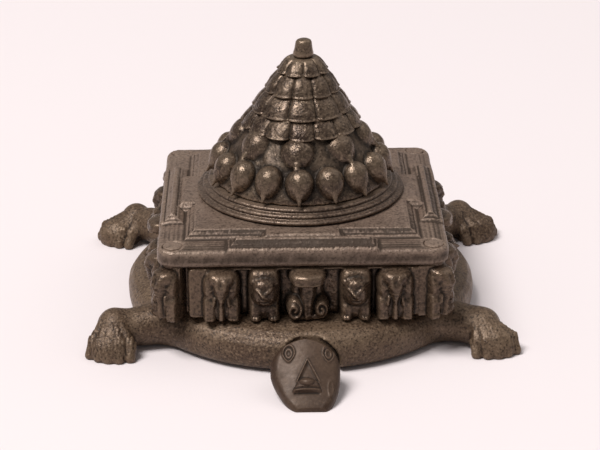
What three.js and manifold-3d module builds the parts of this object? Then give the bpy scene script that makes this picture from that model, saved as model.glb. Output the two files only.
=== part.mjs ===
// Shri yantra in cast bronze: a tortoise carries a frieze of four castings, a plate and a petalled mount.
// Millimetres, +Z up, head towards -Y, origin on the floor under the middle of the object's own box.
// Every casting is its own mesh. A rod through the middle clamps the stack, and a rivet pins each corner.

import * as THREE from 'three';
import { mergeVertices } from 'three/addons/utils/BufferGeometryUtils.js';
import { ConvexGeometry } from 'three/addons/geometries/ConvexGeometry.js';
import Module from 'manifold-3d';

const wasm = await Module();
wasm.setup();

// Clearance between castings that touch
const fit = 0.3;

// How far cutting tools and buried roots run past a face
const overrun = 1;

// Tortoise body: a hollow disc, open below
const shellRadius = 60.4;
const shellTopHeight = 14.5;
const shellLipHeight = 2;
const shellWall = 4.2;
const shellShoulder = 8;
const shellLipInset = 3;
const shoulderRoundness = 0.8;
const lipRoundness = 0.45;
const shellWaistHeight = 7.4;
const shellSegments = 40;
const flankSteps = 5;
const bossRadius = 9;
const bossDrop = 2.2;
const bossFlare = 1;
const haunchInset = 2;
const haunchDrop = 2.5;

// Tortoise legs: the left-hand ones, seen from above with the head in front
const frontLeg = {
  root: new THREE.Vector2(-41, -31),
  knee: new THREE.Vector3(-63, -38.4, 14.6),
  toes: new THREE.Vector2(-65, -50.2),
  bearing: 10,
};
const backLeg = {
  root: new THREE.Vector2(-38, 38),
  knee: new THREE.Vector3(-60.5, 57, 13.2),
  toes: new THREE.Vector2(-70.6, 47.6),
  bearing: 36,
};
const armHalfWidth = 7;
const armSag = 1.2;
const armUnderside = 2;
const armSides = 10;
const armSquareness = 0.7;
const kneeHalfWidth = 5.6;
const heelReach = 3.6;
const pawHalfWidth = 8.6;
const toeHeight = 6.6;
const toeTipHeight = 3;
const toeCount = 5;
const toeGroove = 1.2;
const pawSteps = 5;
const pawTaper = 0.85;
const heelShare = 0.3;
const heelFall = 0.75;
const toeShare = 0.4;
const toeFall = 0.45;
const pawArchFall = 0.98;

// Tortoise tail
const tailReach = 72;
const tailHalfWidth = 4;
const tailTop = 9.5;
const tailSides = 8;
const tailTaper = 0.9;
const tailDroop = 0.35;

// Tortoise head
const chinReach = 86;
const crownReach = 70.5;
const crownHeight = 17;
const crownRoundness = 2.6;
const crownShare = 0.2;
const chinHalfWidth = 5.2;
const cheekHalfWidth = 11;
const cheekHeight = 10.8;
const napeReach = 67;
const napeLap = 1;
const napeSlope = 2;
const throatSlope = 12;
const skullSides = 18;
const skullSquareness = 0.75;
const skullFlatness = 0.6;
const neckHalfWidth = 8.4;
const neckHalfHeight = 5.6;
const neckAxisHeight = 9;
const neckSides = 14;
const neckLap = 3;
const tenonWidth = 9;
const tenonHeight = 4.4;
const tenonLength = 3.6;
const eyeSpread = 6.5;
const eyeHeight = 14;
const eyeHalfWidth = 1.9;
const eyeHalfHeight = 2.4;
const eyeRise = 1.1;
const eyeSink = 1.2;
const snoutTop = 13.4;
const snoutFoot = 5.8;
const snoutHalfWidth = 3.7;
const snoutRise = 1.5;
const beakLift = 2;
const beakShare = 0.8;
const snoutSink = 0.7;
const snoutRoot = 4;
const mouthHeight = 4.7;
const mouthWidth = 8;
const mouthOpening = 0.6;
const mouthDepth = 0.7;

// Plate
const plateWidth = 96;
const plateCorner = 6;
const plateCornerSteps = 3;
const plateRimThickness = 5.7;
const plateNose = 1.5;
const plateCrown = 0.5;
const plateSlope = 3;
const spigotDrop = 1.2;

// Square walls with four T gates, as three low steps on the plate
const wallCount = 3;
const wallStep = 0.9;
const wallPitch = 1.3;
const wallMargin = 9.4;
const wallHalf = plateWidth / 2 - wallMargin;
const gateNeckHalf = 14.8;
const gateArmHalf = 24.6;
const gateArmDepth = 7;
const gateMargin = 1;
const gateReach = plateWidth / 2 - gateMargin;

// Frieze: each casting runs along one side and ends in a corner block
const friezeInset = 10;
const friezeHalf = plateWidth / 2 - friezeInset;
const friezeHeight = 18.1;
const friezeWall = 5;
const endPostWidth = 4.8;
const postEdge = 0.4;
const cornerReach = 9.3;
const cornerSquareness = 6;
const railHeight = 1.7;
const railRise = 3.6;
const railLip = 0.3;
const firstFigureMargin = 11;
const lastFigureMargin = 7.6;
const figureHalfWidth = 5.8;
const cornerFigureRadius = 12.5;
const reliefRoundness = 0.35;

// Figures as rounded lumps: place across and up, half sizes, how far out, and how square the outline is
const elephant = [
  { across: 0, up: 8, halfWidth: 6, halfHeight: 9.8, out: 4, square: 4 },
  { across: -4.2, up: 12, halfWidth: 2.2, halfHeight: 4, out: 7, square: 2.4 },
  { across: 4.2, up: 12, halfWidth: 2.2, halfHeight: 4, out: 7, square: 2.4 },
  { across: -3.6, up: 3, halfWidth: 2.2, halfHeight: 6, out: 6.4, square: 4 },
  { across: 3.6, up: 3, halfWidth: 2.2, halfHeight: 6, out: 6.4, square: 4 },
  { across: 0, up: 13, halfWidth: 4.2, halfHeight: 4.9, out: 9.4, square: 2 },
  { across: 0, up: 5.4, halfWidth: 1.9, halfHeight: 8, out: 8.8, square: 3 },
];
const lion = [
  { across: 0, up: 10, halfWidth: 6, halfHeight: 7.4, out: 7, square: 4 },
  { across: -3.2, up: 2, halfWidth: 2.6, halfHeight: 5, out: 6, square: 4 },
  { across: 3.2, up: 2, halfWidth: 2.6, halfHeight: 5, out: 6, square: 4 },
  { across: 0, up: 7.6, halfWidth: 2.9, halfHeight: 3, out: 8.3, square: 2 },
];
const serpent = [
  { across: 0, up: 14, halfWidth: 6.1, halfHeight: 3.2, out: 9.8, square: 3 },
  { across: 0, up: 8, halfWidth: 3.4, halfHeight: 9.6, out: 7.4, square: 3 },
  { across: -4.3, up: 3, halfWidth: 2.4, halfHeight: 2.9, out: 7.6, square: 2 },
  { across: 4.1, up: 2.6, halfWidth: 2, halfHeight: 2.5, out: 7, square: 2 },
];

// Corner rivets
const rivetInset = 5.2;
const rivetSpread = plateWidth / 2 - rivetInset;
const rivetRadius = 3.15;
const rivetDepth = 9;

// Beaded ring under the mount
const ringRadius = 35.6;
const ringTopRadius = 31.8;
const ringHeight = 4.6;
const ringBore = 27.3;
const ringSegments = 36;
const beadCount = 3;
const beadRound = 0.55;

// Petalled mount: tiers from the bottom up, each with its share of the mount's radius and height
const mountRadius = 32;
const mountHeight = 41.8;
const petalLift = 1;
const tierNotch = 0.9;
const tierBulge = 1.6;
const tierLap = 0.6;
const pointSharpness = 1.25;
const lobeSquareness = 2.2;
const lobeRoundness = 0.55;
const grooveFade = 0.35;
const undercutShare = 0.4;
const undercutLift = 0.3;
const tierRows = 3;
const tiers = [
  { lobes: 16, breadth: 1, share: 0.222, point: 5, groove: 3.4, steps: 4, turn: 0 },
  { lobes: 8, breadth: 0.83, share: 0.218, point: 5.2, groove: 3, steps: 6, turn: 0 },
  { lobes: 14, breadth: 0.645, share: 0.132, point: 0.5, groove: 1.3, steps: 3, turn: 0 },
  { lobes: 10, breadth: 0.53, share: 0.155, point: 0.5, groove: 1.2, steps: 3, turn: 0 },
  { lobes: 10, breadth: 0.4, share: 0.155, point: 0.4, groove: 1, steps: 3, turn: 0 },
  { lobes: 8, breadth: 0.28, share: 0.118, point: 0.4, groove: 0.9, steps: 3, turn: 0.5 },
].map((tier) => ({ ...tier, radius: tier.breadth * mountRadius, height: tier.share * mountHeight }));
const summitRadius = 4.6;
const skirtRadius = 29.4;
const skirtTopRadius = 23.4;
const coreDrop = 2;

// Centre rod with the bindu as its head
const rodRadius = 2.5;
const rodSides = 12;
const binduFootRadius = 3.5;
const binduTopRadius = 2.5;
const binduHeight = 6;
const binduRound = 1.2;
const washerRadius = 5.4;
const washerThickness = 1;
const nutRadius = 4.6;
const nutThickness = 3;
const nutSides = 6;
const rodTail = 0.8;

// Colours of the castings
const bodyColour = 0x5a4b3e;
const headColour = 0x4e4036;
const friezeColour = 0x4a3d34;
const plateColour = 0x6e6259;
const mountColour = 0x54473b;
const brassColour = 0x7a6a4a;
const castRoughness = 0.5;
const rubbedRoughness = 0.4;
const castMetalness = 0.85;

// Levels that follow from the sizes
const panelFloor = shellTopHeight + fit;
const plateFloor = panelFloor + friezeHeight + fit;
const plateRim = plateFloor + plateRimThickness;
const plateMargin = plateRim + plateCrown;
const fieldHeight = plateMargin + wallCount * wallStep;
const ringFloor = fieldHeight + fit;
const ringTop = ringFloor + ringHeight;
const petalFoot = ringTop + petalLift;
const mountTop = petalFoot + mountHeight;
const bossFace = shellTopHeight - shellWall - bossDrop;

// Closed mesh as a solid for joining and cutting
function solid(geometry) {
  const bare = geometry.clone();
  bare.deleteAttribute('normal');
  bare.deleteAttribute('uv');
  const merged = mergeVertices(bare, 1e-4);
  const vertProperties = new Float32Array(merged.attributes.position.array);
  const triVerts = new Uint32Array(merged.index.array);
  return new wasm.Manifold(new wasm.Mesh({ numProp: 3, vertProperties, triVerts }));
}

function union(parts) {
  return parts.reduce((whole, part) => whole.add(part));
}

// Named mesh of a solid, with the colour and finish of its casting
function casting(name, body, color, roughness) {
  const { vertProperties, triVerts } = body.getMesh();
  const geometry = new THREE.BufferGeometry();
  geometry.setAttribute('position', new THREE.BufferAttribute(vertProperties, 3));
  geometry.setIndex(new THREE.BufferAttribute(triVerts, 1));
  geometry.computeVertexNormals();
  const material = new THREE.MeshStandardMaterial({ color, roughness, metalness: castMetalness });
  const mesh = new THREE.Mesh(geometry, material);
  mesh.name = name;
  return mesh;
}

// Closed skin through rings of points, each ring anticlockwise when seen from the last ring's side
function loft(rings) {
  const count = rings[0].length;
  const middle = (ring) => ring.reduce((sum, p) => sum.add(p), new THREE.Vector3()).divideScalar(count);
  const points = [...rings.flat(), middle(rings[0]), middle(rings.at(-1))];
  const first = points.length - 2;
  const last = points.length - 1;
  const index = [];
  for (let j = 0; j < count; j++) {
    const next = (j + 1) % count;
    for (let i = 0; i + 1 < rings.length; i++) {
      const [a, b] = [i * count + j, i * count + next];
      index.push(a, b, b + count, a, b + count, a + count);
    }
    const top = (rings.length - 1) * count;
    index.push(first, next, j, last, top + j, top + next);
  }
  const geometry = new THREE.BufferGeometry().setFromPoints(points);
  geometry.setIndex(index);
  return geometry;
}

// Solid of revolution round Z from points (radius, height), given from the bottom of the axis to its top
function revolve(profile, segments) {
  const points = profile.map(([radius, height]) => new THREE.Vector2(radius, height));
  return new THREE.LatheGeometry(points, segments).rotateX(Math.PI / 2);
}

function disc(radius, bottom, top, segments) {
  return solid(revolve([[0, bottom], [radius, bottom], [radius, top], [0, top]], segments));
}

function box(low, high) {
  const size = new THREE.Vector3().subVectors(high, low);
  const centre = new THREE.Vector3().addVectors(low, high).multiplyScalar(0.5);
  return new THREE.BoxGeometry(size.x, size.y, size.z).translate(centre.x, centre.y, centre.z);
}

// Left-hand piece turned into its right-hand twin
function mirrored(geometry) {
  const twin = geometry.clone().scale(-1, 1, 1);
  const { array } = twin.index;
  for (let i = 0; i < array.length; i += 3) [array[i], array[i + 1]] = [array[i + 1], array[i]];
  return twin;
}

// Outer side of the tortoise's body as (radius, height), from the lip up to the flat top
function shellFlank(grow) {
  return Array.from({ length: flankSteps + 1 }, (_, i) => {
    const turn = (i / flankSteps - 0.5) * Math.PI;
    const upper = turn > 0;
    const rise = upper ? shellTopHeight - shellWaistHeight : shellWaistHeight - shellLipHeight;
    const inset = upper ? shellShoulder : shellLipInset;
    const round = Math.cos(turn) ** (upper ? shoulderRoundness : lipRoundness);
    return [shellRadius - inset * (1 - round) + grow, shellWaistHeight + rise * Math.sin(turn)];
  });
}

// Paw from the heel behind the knee down to the toes, as sections across its own heading
function pawSkin({ knee, toes, bearing }) {
  const heading = THREE.MathUtils.degToRad(bearing);
  const ahead = new THREE.Vector3(-Math.sin(heading), -Math.cos(heading), 0);
  const across = new THREE.Vector3(-ahead.y, ahead.x, 0);
  const heel = new THREE.Vector3(knee.x, knee.y, 0).addScaledVector(ahead, -heelReach);
  const tip = new THREE.Vector3(toes.x, toes.y, 0);
  const archPoints = 3 * toeCount;
  return Array.from({ length: pawSteps + 1 }, (_, i) => {
    const t = i / pawSteps;
    const centre = new THREE.Vector3().lerpVectors(heel, tip, t ** pawTaper);
    const rear = Math.sqrt(1 - Math.max(0, 1 - t / heelShare) ** 2 * heelFall);
    const front = Math.sqrt(1 - Math.max(0, 1 - (1 - t) / toeShare) ** 2 * toeFall);
    const { lerp, smoothstep } = THREE.MathUtils;
    const spread = lerp(kneeHalfWidth, pawHalfWidth, smoothstep(t, 0.1, 0.8));
    const halfWidth = spread * rear * front;
    const slope = lerp(knee.z, toeHeight, smoothstep(t, 0.25, 0.85));
    const height = lerp(slope, toeTipHeight, smoothstep(t, 0.8, 1)) * rear;
    const depth = toeGroove * smoothstep(t, 0.4, 0.7);
    const ring = Array.from({ length: archPoints + 1 }, (_, j) => {
      const side = 1 - (2 * j) / archPoints;
      const knuckle = Math.abs(Math.sin((side + 1) * 0.5 * toeCount * Math.PI));
      const groove = depth * (1 - knuckle);
      const arch = Math.sqrt(1 - pawArchFall * side ** 4);
      return centre.clone()
        .addScaledVector(across, side * halfWidth)
        .addScaledVector(ahead, -groove)
        .setZ(height * arch - groove * Math.sqrt(1 - Math.abs(side)));
    });
    ring.push(centre.clone().addScaledVector(across, -halfWidth).setZ(0));
    ring.push(centre.clone().addScaledVector(across, halfWidth).setZ(0));
    return ring;
  });
}

// Arm from inside the body's rim out to the knee
function armSkin({ root, knee }) {
  const start = new THREE.Vector3(root.x, root.y, 0);
  const end = new THREE.Vector3(knee.x, knee.y, 0);
  const outward = new THREE.Vector3().subVectors(end, start).normalize();
  const sideways = new THREE.Vector3(-outward.y, outward.x, 0);
  return [0, 0.45, 0.75, 1].map((t) => {
    const centre = new THREE.Vector3().lerpVectors(start, end, t);
    const top = THREE.MathUtils.lerp(shellTopHeight, knee.z, t) - armSag * Math.sin(t * Math.PI);
    const halfWidth = THREE.MathUtils.lerp(armHalfWidth, kneeHalfWidth, t * t);
    return Array.from({ length: armSides }, (_, j) => {
      const turn = (2 * Math.PI * (j + 0.5)) / armSides;
      const squared = (value) => Math.sign(value) * Math.abs(value) ** armSquareness;
      const [c, s] = [squared(Math.cos(turn)), squared(Math.sin(turn))];
      return centre.clone()
        .addScaledVector(sideways, -halfWidth * c)
        .setZ((top + armUnderside) / 2 - ((top - armUnderside) / 2) * s);
    });
  });
}

// One leg: an arm out from under the frieze's corner, a raised knee, and a paw whose toes meet the floor
function legSolids(leg, mirror) {
  const pieces = [loft(pawSkin(leg)), loft(armSkin(leg))];
  return pieces.map((piece) => solid(mirror ? mirrored(piece) : piece));
}

// Tail: a short taper out of the body's rim
function tailSkin() {
  const root = shellRadius - shellShoulder;
  return [0, 0.4, 0.75, 1].map((t) => {
    const taper = Math.sqrt(1 - tailTaper * t * t);
    const halfHeight = (tailTop - shellLipHeight) / 2;
    const middle = shellLipHeight + halfHeight * (1 - tailDroop * t);
    return Array.from({ length: tailSides }, (_, j) => {
      const turn = (2 * Math.PI * j) / tailSides;
      const x = -tailHalfWidth * taper * Math.cos(turn);
      const reach = THREE.MathUtils.lerp(root, tailReach, t);
      return new THREE.Vector3(x, reach, middle + halfHeight * taper * Math.sin(turn));
    });
  });
}

// Block that takes away everything below the floor
function underFloor() {
  const wide = 2 * chinReach;
  return solid(box(new THREE.Vector3(-wide, -wide, -wide), new THREE.Vector3(wide, wide, 0)));
}

function buildShell() {
  const ceiling = shellTopHeight - shellWall;
  const innerRadius = shellRadius - shellWall - shellLipInset;
  const flank = shellFlank(0);
  const bossRoot = bossRadius + bossFlare;
  const haunchFoot = [innerRadius - haunchInset, ceiling - haunchDrop];
  const haunch = [[innerRadius - shellShoulder, ceiling], haunchFoot];
  const flat = solid(revolve([
    [0, bossFace], [bossRadius, bossFace], [bossRoot, ceiling], ...haunch, [innerRadius, shellLipHeight],
    ...flank, [0, shellTopHeight],
  ], shellSegments));
  const hollow = solid(revolve([
    [bossRadius, 0], [innerRadius, 0], [innerRadius, shellLipHeight], ...haunch.reverse(),
    [bossRoot, ceiling], [bossRadius, bossFace], [bossRadius, 0],
  ], shellSegments));
  const legs = [false, true].flatMap((mirror) => [
    ...legSolids(frontLeg, mirror),
    ...legSolids(backLeg, mirror),
  ]);
  return union([flat, ...legs, solid(loft(tailSkin()))])
    .subtract(hollow)
    .subtract(underFloor())
    .subtract(disc(rodRadius + fit, 0, shellTopHeight + overrun, rodSides))
    .subtract(tenon(fit));
}

// Tongue of the head that sits in the shell's rim
function tenon(grow) {
  const middle = neckAxisHeight;
  const low = new THREE.Vector3(-tenonWidth / 2 - grow, -napeReach, middle - tenonHeight / 2 - grow);
  const high = new THREE.Vector3(
    tenonWidth / 2 + grow, tenonLength - shellRadius + grow, middle + tenonHeight / 2 + grow,
  );
  return solid(box(low, high));
}

// Distance of the sloping face from the middle of the tortoise at a height
function faceReach(height) {
  return THREE.MathUtils.lerp(chinReach, crownReach, height / crownHeight);
}

function headHalfWidth(height) {
  if (height > cheekHeight) {
    const up = (height - cheekHeight) / (crownHeight - cheekHeight);
    return cheekHalfWidth * Math.sqrt(Math.max(crownShare ** 2, 1 - up ** crownRoundness));
  }
  const down = 1 - height / cheekHeight;
  return chinHalfWidth + (cheekHalfWidth - chinHalfWidth) * (1 - down * down);
}

// Skull as level sections, each a squarish oval between the nape and the sloping face
function skullSkin() {
  const levels = [0, 0.07, 0.2, 0.4, 0.6, 0.78, 0.92, 1];
  return levels.map((level) => {
    const height = crownHeight * level;
    const front = faceReach(height);
    const back = napeReach - napeLap + throatSlope * (1 - level) ** 3 + napeSlope * level ** 4;
    const halfWidth = headHalfWidth(height);
    return Array.from({ length: skullSides }, (_, j) => {
      const turn = (2 * Math.PI * j) / skullSides;
      const [c, s] = [Math.cos(turn), Math.sin(turn)];
      const x = halfWidth * Math.sign(c) * Math.abs(c) ** skullSquareness;
      const depth = ((front - back) / 2) * Math.sign(s) * Math.abs(s) ** skullFlatness;
      return new THREE.Vector3(x, depth - (front + back) / 2, height);
    });
  });
}

function neckSkin() {
  return [0, 1].map((t) => Array.from({ length: neckSides }, (_, j) => {
    const turn = (2 * Math.PI * j) / neckSides;
    const y = -THREE.MathUtils.lerp(shellRadius - tenonLength, napeReach + neckLap, t);
    const z = neckAxisHeight + neckHalfHeight * Math.sin(turn);
    return new THREE.Vector3(neckHalfWidth * Math.cos(turn), y, z);
  }));
}

function buildHead() {
  const beak = snoutFoot + beakLift;
  const behind = snoutSink - faceReach(snoutFoot);
  const ridge = new ConvexGeometry([
    new THREE.Vector3(0, snoutSink - faceReach(snoutTop), snoutTop),
    new THREE.Vector3(0, -faceReach(beak) - snoutRise, beak),
    new THREE.Vector3(0, -faceReach(snoutFoot) - beakShare * snoutRise, snoutFoot),
    new THREE.Vector3(snoutHalfWidth, behind, snoutFoot),
    new THREE.Vector3(-snoutHalfWidth, behind, snoutFoot),
    new THREE.Vector3(0, snoutRoot - faceReach(snoutFoot), snoutFoot + overrun),
  ]);
  const lean = Math.atan2(crownHeight, chinReach - crownReach) - Math.PI / 2;
  const eyes = [-1, 1].map((side) => {
    const lid = new THREE.SphereGeometry(1, 8, 6).scale(eyeHalfWidth, eyeRise, eyeHalfHeight);
    return lid.rotateX(lean).translate(side * eyeSpread, eyeSink - faceReach(eyeHeight), eyeHeight);
  });
  const lips = -faceReach(mouthHeight);
  const mouth = box(
    new THREE.Vector3(-mouthWidth / 2, lips - snoutRise, mouthHeight - mouthOpening / 2),
    new THREE.Vector3(mouthWidth / 2, lips + mouthDepth, mouthHeight + mouthOpening / 2),
  );
  const rim = revolve([[0, 0], ...shellFlank(fit), [0, shellTopHeight + fit]], shellSegments);
  return union([loft(skullSkin()), loft(neckSkin()), ridge, ...eyes].map(solid))
    .subtract(solid(mouth))
    .subtract(solid(rim))
    .add(tenon(0));
}

// How far a figure stands out at a place across and up it
function figureRise(figure, across, up) {
  return figure.reduce((rise, lump) => {
    const side = Math.abs(across - lump.across) / lump.halfWidth;
    const level = Math.abs(up - lump.up) / lump.halfHeight;
    const spread = side ** lump.square + level ** lump.square;
    return Math.max(rise, spread < 1 ? lump.out * (1 - spread) ** reliefRoundness : 0);
  }, 0);
}

// Places across a figure where its relief turns
const halfColumns = [0.3, 0.6, 0.92, 1.06].map((part) => part * figureHalfWidth);
const acrossFigure = [...halfColumns.map((place) => -place).reverse(), 0, ...halfColumns];

// Columns of the relief: the end post, the figures along the side, and the elephant round the corner
function friezeColumns() {
  const wall = fit + friezeWall;
  const start = fit - friezeHalf;
  const postEnd = start + endPostWidth;
  const rail = (up) => (up > friezeHeight - railHeight ? railRise : 0);
  const columns = [];
  const along = (x, depthAt) => columns.push((up, depth) => (
    new THREE.Vector3(x, -friezeHalf - (depth ?? depthAt(up)), panelFloor + up)
  ));
  along(start, () => cornerReach);
  along(postEnd, () => cornerReach);
  along(postEnd + postEdge, (up) => wall + rail(up));
  const figures = [elephant, lion, serpent, lion, elephant];
  const first = firstFigureMargin - friezeHalf;
  const last = friezeHalf - lastFigureMargin;
  figures.forEach((figure, i) => {
    const middle = THREE.MathUtils.lerp(first, last, i / (figures.length - 1));
    const clear = (place) => middle + place > postEnd + postEdge && middle + place < friezeHalf;
    for (const across of acrossFigure.filter(clear)) {
      along(middle + across, (up) => wall + Math.max(rail(up), figureRise(figure, across, up)));
    }
  });
  const turns = acrossFigure.map((across) => Math.PI / 4 + across / cornerFigureRadius);
  for (const turn of [0, ...turns, Math.PI / 2]) {
    const [c, s] = [Math.cos(turn), Math.sin(turn)];
    const block = cornerReach / (c ** cornerSquareness + s ** cornerSquareness) ** (1 / cornerSquareness);
    const across = (turn - Math.PI / 4) * cornerFigureRadius;
    columns.push((up, depth) => {
      const out = depth ?? Math.max(block, wall + figureRise(elephant, across, up));
      return new THREE.Vector3(friezeHalf + out * s, -friezeHalf - out * c, panelFloor + up);
    });
  }
  return columns;
}

// Frieze casting of the front side; the other three are the same casting turned round
function buildPanel() {
  const underRail = friezeHeight - railHeight;
  const levels = [0, 0.26, 0.48, 0.68, 0.88].map((part) => part * underRail);
  const rows = [...levels, underRail, underRail + railLip, friezeHeight];
  const sections = friezeColumns().map((place) => [
    place(0, fit), place(friezeHeight, fit), ...rows.map((up) => place(up)).reverse(),
  ]);
  const socket = disc(rivetRadius + fit, plateFloor - rivetDepth - fit, plateFloor, rodSides)
    .translate([rivetSpread, -rivetSpread, 0]);
  return solid(loft(sections)).subtract(socket);
}

function buildRivet() {
  return disc(rivetRadius, plateFloor - rivetDepth, plateMargin, rodSides);
}

// Square outline with round corners at a height
function roundedSquare(half, corner, height) {
  const ring = [];
  for (let side = 0; side < 4; side++) {
    for (let i = 0; i <= plateCornerSteps; i++) {
      const turn = (side + i / plateCornerSteps) * (Math.PI / 2);
      const middle = new THREE.Vector2(half - corner, half - corner)
        .rotateAround(new THREE.Vector2(), side * (Math.PI / 2));
      const x = middle.x + corner * Math.cos(turn);
      const y = middle.y + corner * Math.sin(turn);
      ring.push(new THREE.Vector3(x, y, height));
    }
  }
  return ring;
}

// Square wall with a T gate in each side, set in by a distance
function gatedSquare(inset) {
  const wall = wallHalf - inset;
  const neck = gateNeckHalf - inset;
  const arm = gateArmHalf - inset;
  const shoulder = gateReach - gateArmDepth + inset;
  const reach = gateReach - inset;
  const side = [[wall, wall], [neck, wall], [neck, shoulder], [arm, shoulder], [arm, reach]];
  const whole = [...side, ...side.slice(1).reverse().map(([x, y]) => [-x, y])];
  const points = [];
  for (let turn = 0; turn < 4; turn++) {
    const angle = (turn * Math.PI) / 2;
    points.push(...whole.map(([x, y]) => new THREE.Vector2(x, y).rotateAround(new THREE.Vector2(), angle)));
  }
  return new THREE.Shape(points);
}

function buildPlate() {
  const half = plateWidth / 2;
  const slab = loft([
    roundedSquare(half - plateNose, plateCorner - plateNose, plateFloor),
    roundedSquare(half, plateCorner, plateFloor + plateNose),
    roundedSquare(half, plateCorner, plateRim - plateNose),
    roundedSquare(half - plateNose, plateCorner - plateNose, plateRim),
    roundedSquare(half - plateNose - plateSlope, plateCorner - plateNose, plateMargin),
  ]);
  const walls = Array.from({ length: wallCount }, (_, i) => {
    const depth = overrun + (i + 1) * wallStep;
    const terrace = new THREE.ExtrudeGeometry(gatedSquare(i * wallPitch), { depth, bevelEnabled: false });
    return terrace.translate(0, 0, plateMargin - overrun);
  });
  const spigot = box(
    new THREE.Vector3(-friezeHalf, -friezeHalf, plateFloor - spigotDrop),
    new THREE.Vector3(friezeHalf, friezeHalf, plateFloor + overrun),
  );
  const bores = [disc(rodRadius + fit, panelFloor, mountTop, rodSides)];
  for (const x of [-rivetSpread, rivetSpread]) {
    for (const y of [-rivetSpread, rivetSpread]) {
      bores.push(disc(rivetRadius + fit, panelFloor, fieldHeight, rodSides).translate([x, y, 0]));
    }
  }
  return bores.reduce((plate, bore) => plate.subtract(bore), union([slab, ...walls, spigot].map(solid)));
}

// Ring of stepped beads that the mount's foot passes through
function buildRing() {
  const bead = ringHeight / beadCount;
  const outer = Array.from({ length: beadCount }, (_, i) => {
    const radius = THREE.MathUtils.lerp(ringRadius, ringTopRadius, i / (beadCount - 1));
    const base = ringFloor + i * bead;
    return [[radius - beadRound / 2, base], [radius, base + bead / 2], [radius - beadRound, base + bead]];
  }).flat();
  const section = [[ringBore, ringFloor], ...outer, [ringBore, ringTop], [ringBore, ringFloor]];
  return solid(revolve(section, ringSegments));
}

// One tier of the mount: convex lobes with grooves between, each lobe's foot drawn to a point
function tierSkin(tier, foot, nextRadius, cover) {
  const around = tier.lobes * tier.steps;
  const summit = foot + tier.height;
  const shrink = tier.radius - nextRadius + tierNotch;
  const rings = Array.from({ length: tierRows + 2 }, () => []);
  for (let j = 0; j < around; j++) {
    const side = Math.abs(2 * ((j / tier.steps) % 1) - 1);
    const turn = (2 * Math.PI * (j + tier.steps * (tier.turn - 0.5))) / around - Math.PI / 2;
    const edge = foot + tier.point * side ** pointSharpness;
    const swell = 1 - (1 - side ** lobeSquareness) ** lobeRoundness;
    const [c, s] = [Math.cos(turn), Math.sin(turn)];
    const place = (radius, height) => new THREE.Vector3(radius * c, radius * s, height);
    const radiusAt = (height) => {
      const up = Math.min(1, Math.max(0, (height - foot) / tier.height));
      const bulge = tier.radius - shrink * (1 - (1 - up ** tierBulge) ** (1 / tierBulge));
      return bulge - tier.groove * swell * (1 - grooveFade * up);
    };
    const undercut = undercutShare * tier.groove + tierNotch;
    rings[0].push(place(radiusAt(edge) - undercut, edge + undercutLift));
    for (let row = 0; row <= tierRows; row++) {
      const height = edge + (summit + cover - edge) * (row / tierRows);
      rings[row + 1].push(place(radiusAt(height), height));
    }
  }
  return rings;
}

function buildMount() {
  const parts = [];
  let foot = petalFoot;
  tiers.forEach((tier, i) => {
    const next = tiers[i + 1];
    const nextRadius = next ? next.radius : summitRadius + tierNotch;
    parts.push(loft(tierSkin(tier, foot, nextRadius, next ? next.point + tierLap : 0)));
    foot += tier.height;
  });
  const spigot = ringBore - fit;
  const skirt = ringTop + fit;
  const core = revolve([
    [0, fieldHeight + fit], [spigot, fieldHeight + fit], [spigot, skirt], [skirtRadius, skirt],
    [skirtTopRadius, petalFoot + tiers[0].height], [0, mountTop - coreDrop],
  ], ringSegments);
  const bore = disc(rodRadius + fit, 0, mountTop + overrun, rodSides);
  return union([core, ...parts].map(solid)).subtract(bore);
}

// Rod with the bindu as its head, from the mount's summit down through the shell's boss
function buildRod() {
  const seat = mountTop + fit;
  const end = bossFace - fit - washerThickness - fit - nutThickness - rodTail;
  const tip = seat + binduHeight;
  return solid(revolve([
    [0, end], [rodRadius, end], [rodRadius, seat],
    [binduFootRadius, seat], [binduFootRadius, seat + binduRound],
    [binduTopRadius, tip - binduRound], [binduTopRadius - binduRound / 2, tip - binduRound / 4], [0, tip],
  ], rodSides));
}

// Hole for the rod through the washer and the nut
function fastenerBore() {
  return disc(rodRadius + fit, 0, bossFace, rodSides);
}

function buildWasher() {
  const top = bossFace - fit;
  const bottom = top - washerThickness;
  return disc(washerRadius, bottom, top, rodSides).subtract(fastenerBore());
}

function buildNut() {
  const top = bossFace - fit - washerThickness - fit;
  return disc(nutRadius, top - nutThickness, top, nutSides).subtract(fastenerBore());
}

const yantra = new THREE.Group();
yantra.add(casting('tortoise_shell', buildShell(), bodyColour, castRoughness));
yantra.add(casting('tortoise_head', buildHead(), headColour, castRoughness));
const panel = buildPanel();
const rivet = buildRivet();
['front', 'right', 'back', 'left'].forEach((side, i) => {
  const turn = (i * Math.PI) / 2;
  const frieze = casting(`frieze_panel_${side}`, panel, friezeColour, castRoughness);
  frieze.rotation.z = turn;
  yantra.add(frieze);
  const pin = casting(`corner_rivet_${side}`, rivet, plateColour, castRoughness);
  pin.position.set(rivetSpread, -rivetSpread, 0).applyAxisAngle(new THREE.Vector3(0, 0, 1), turn);
  yantra.add(pin);
});
yantra.add(casting('top_plate', buildPlate(), plateColour, castRoughness));
yantra.add(casting('ring_moulding', buildRing(), mountColour, castRoughness));
yantra.add(casting('meru_mount', buildMount(), mountColour, rubbedRoughness));
yantra.add(casting('bindu_rod', buildRod(), mountColour, rubbedRoughness));
yantra.add(casting('rod_washer', buildWasher(), brassColour, castRoughness));
yantra.add(casting('rod_nut', buildNut(), brassColour, castRoughness));

// The head reaches further than the tail, so the plate's middle lies behind the middle of the box
yantra.position.y = (chinReach - tailReach) / 2;

export default yantra;
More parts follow.
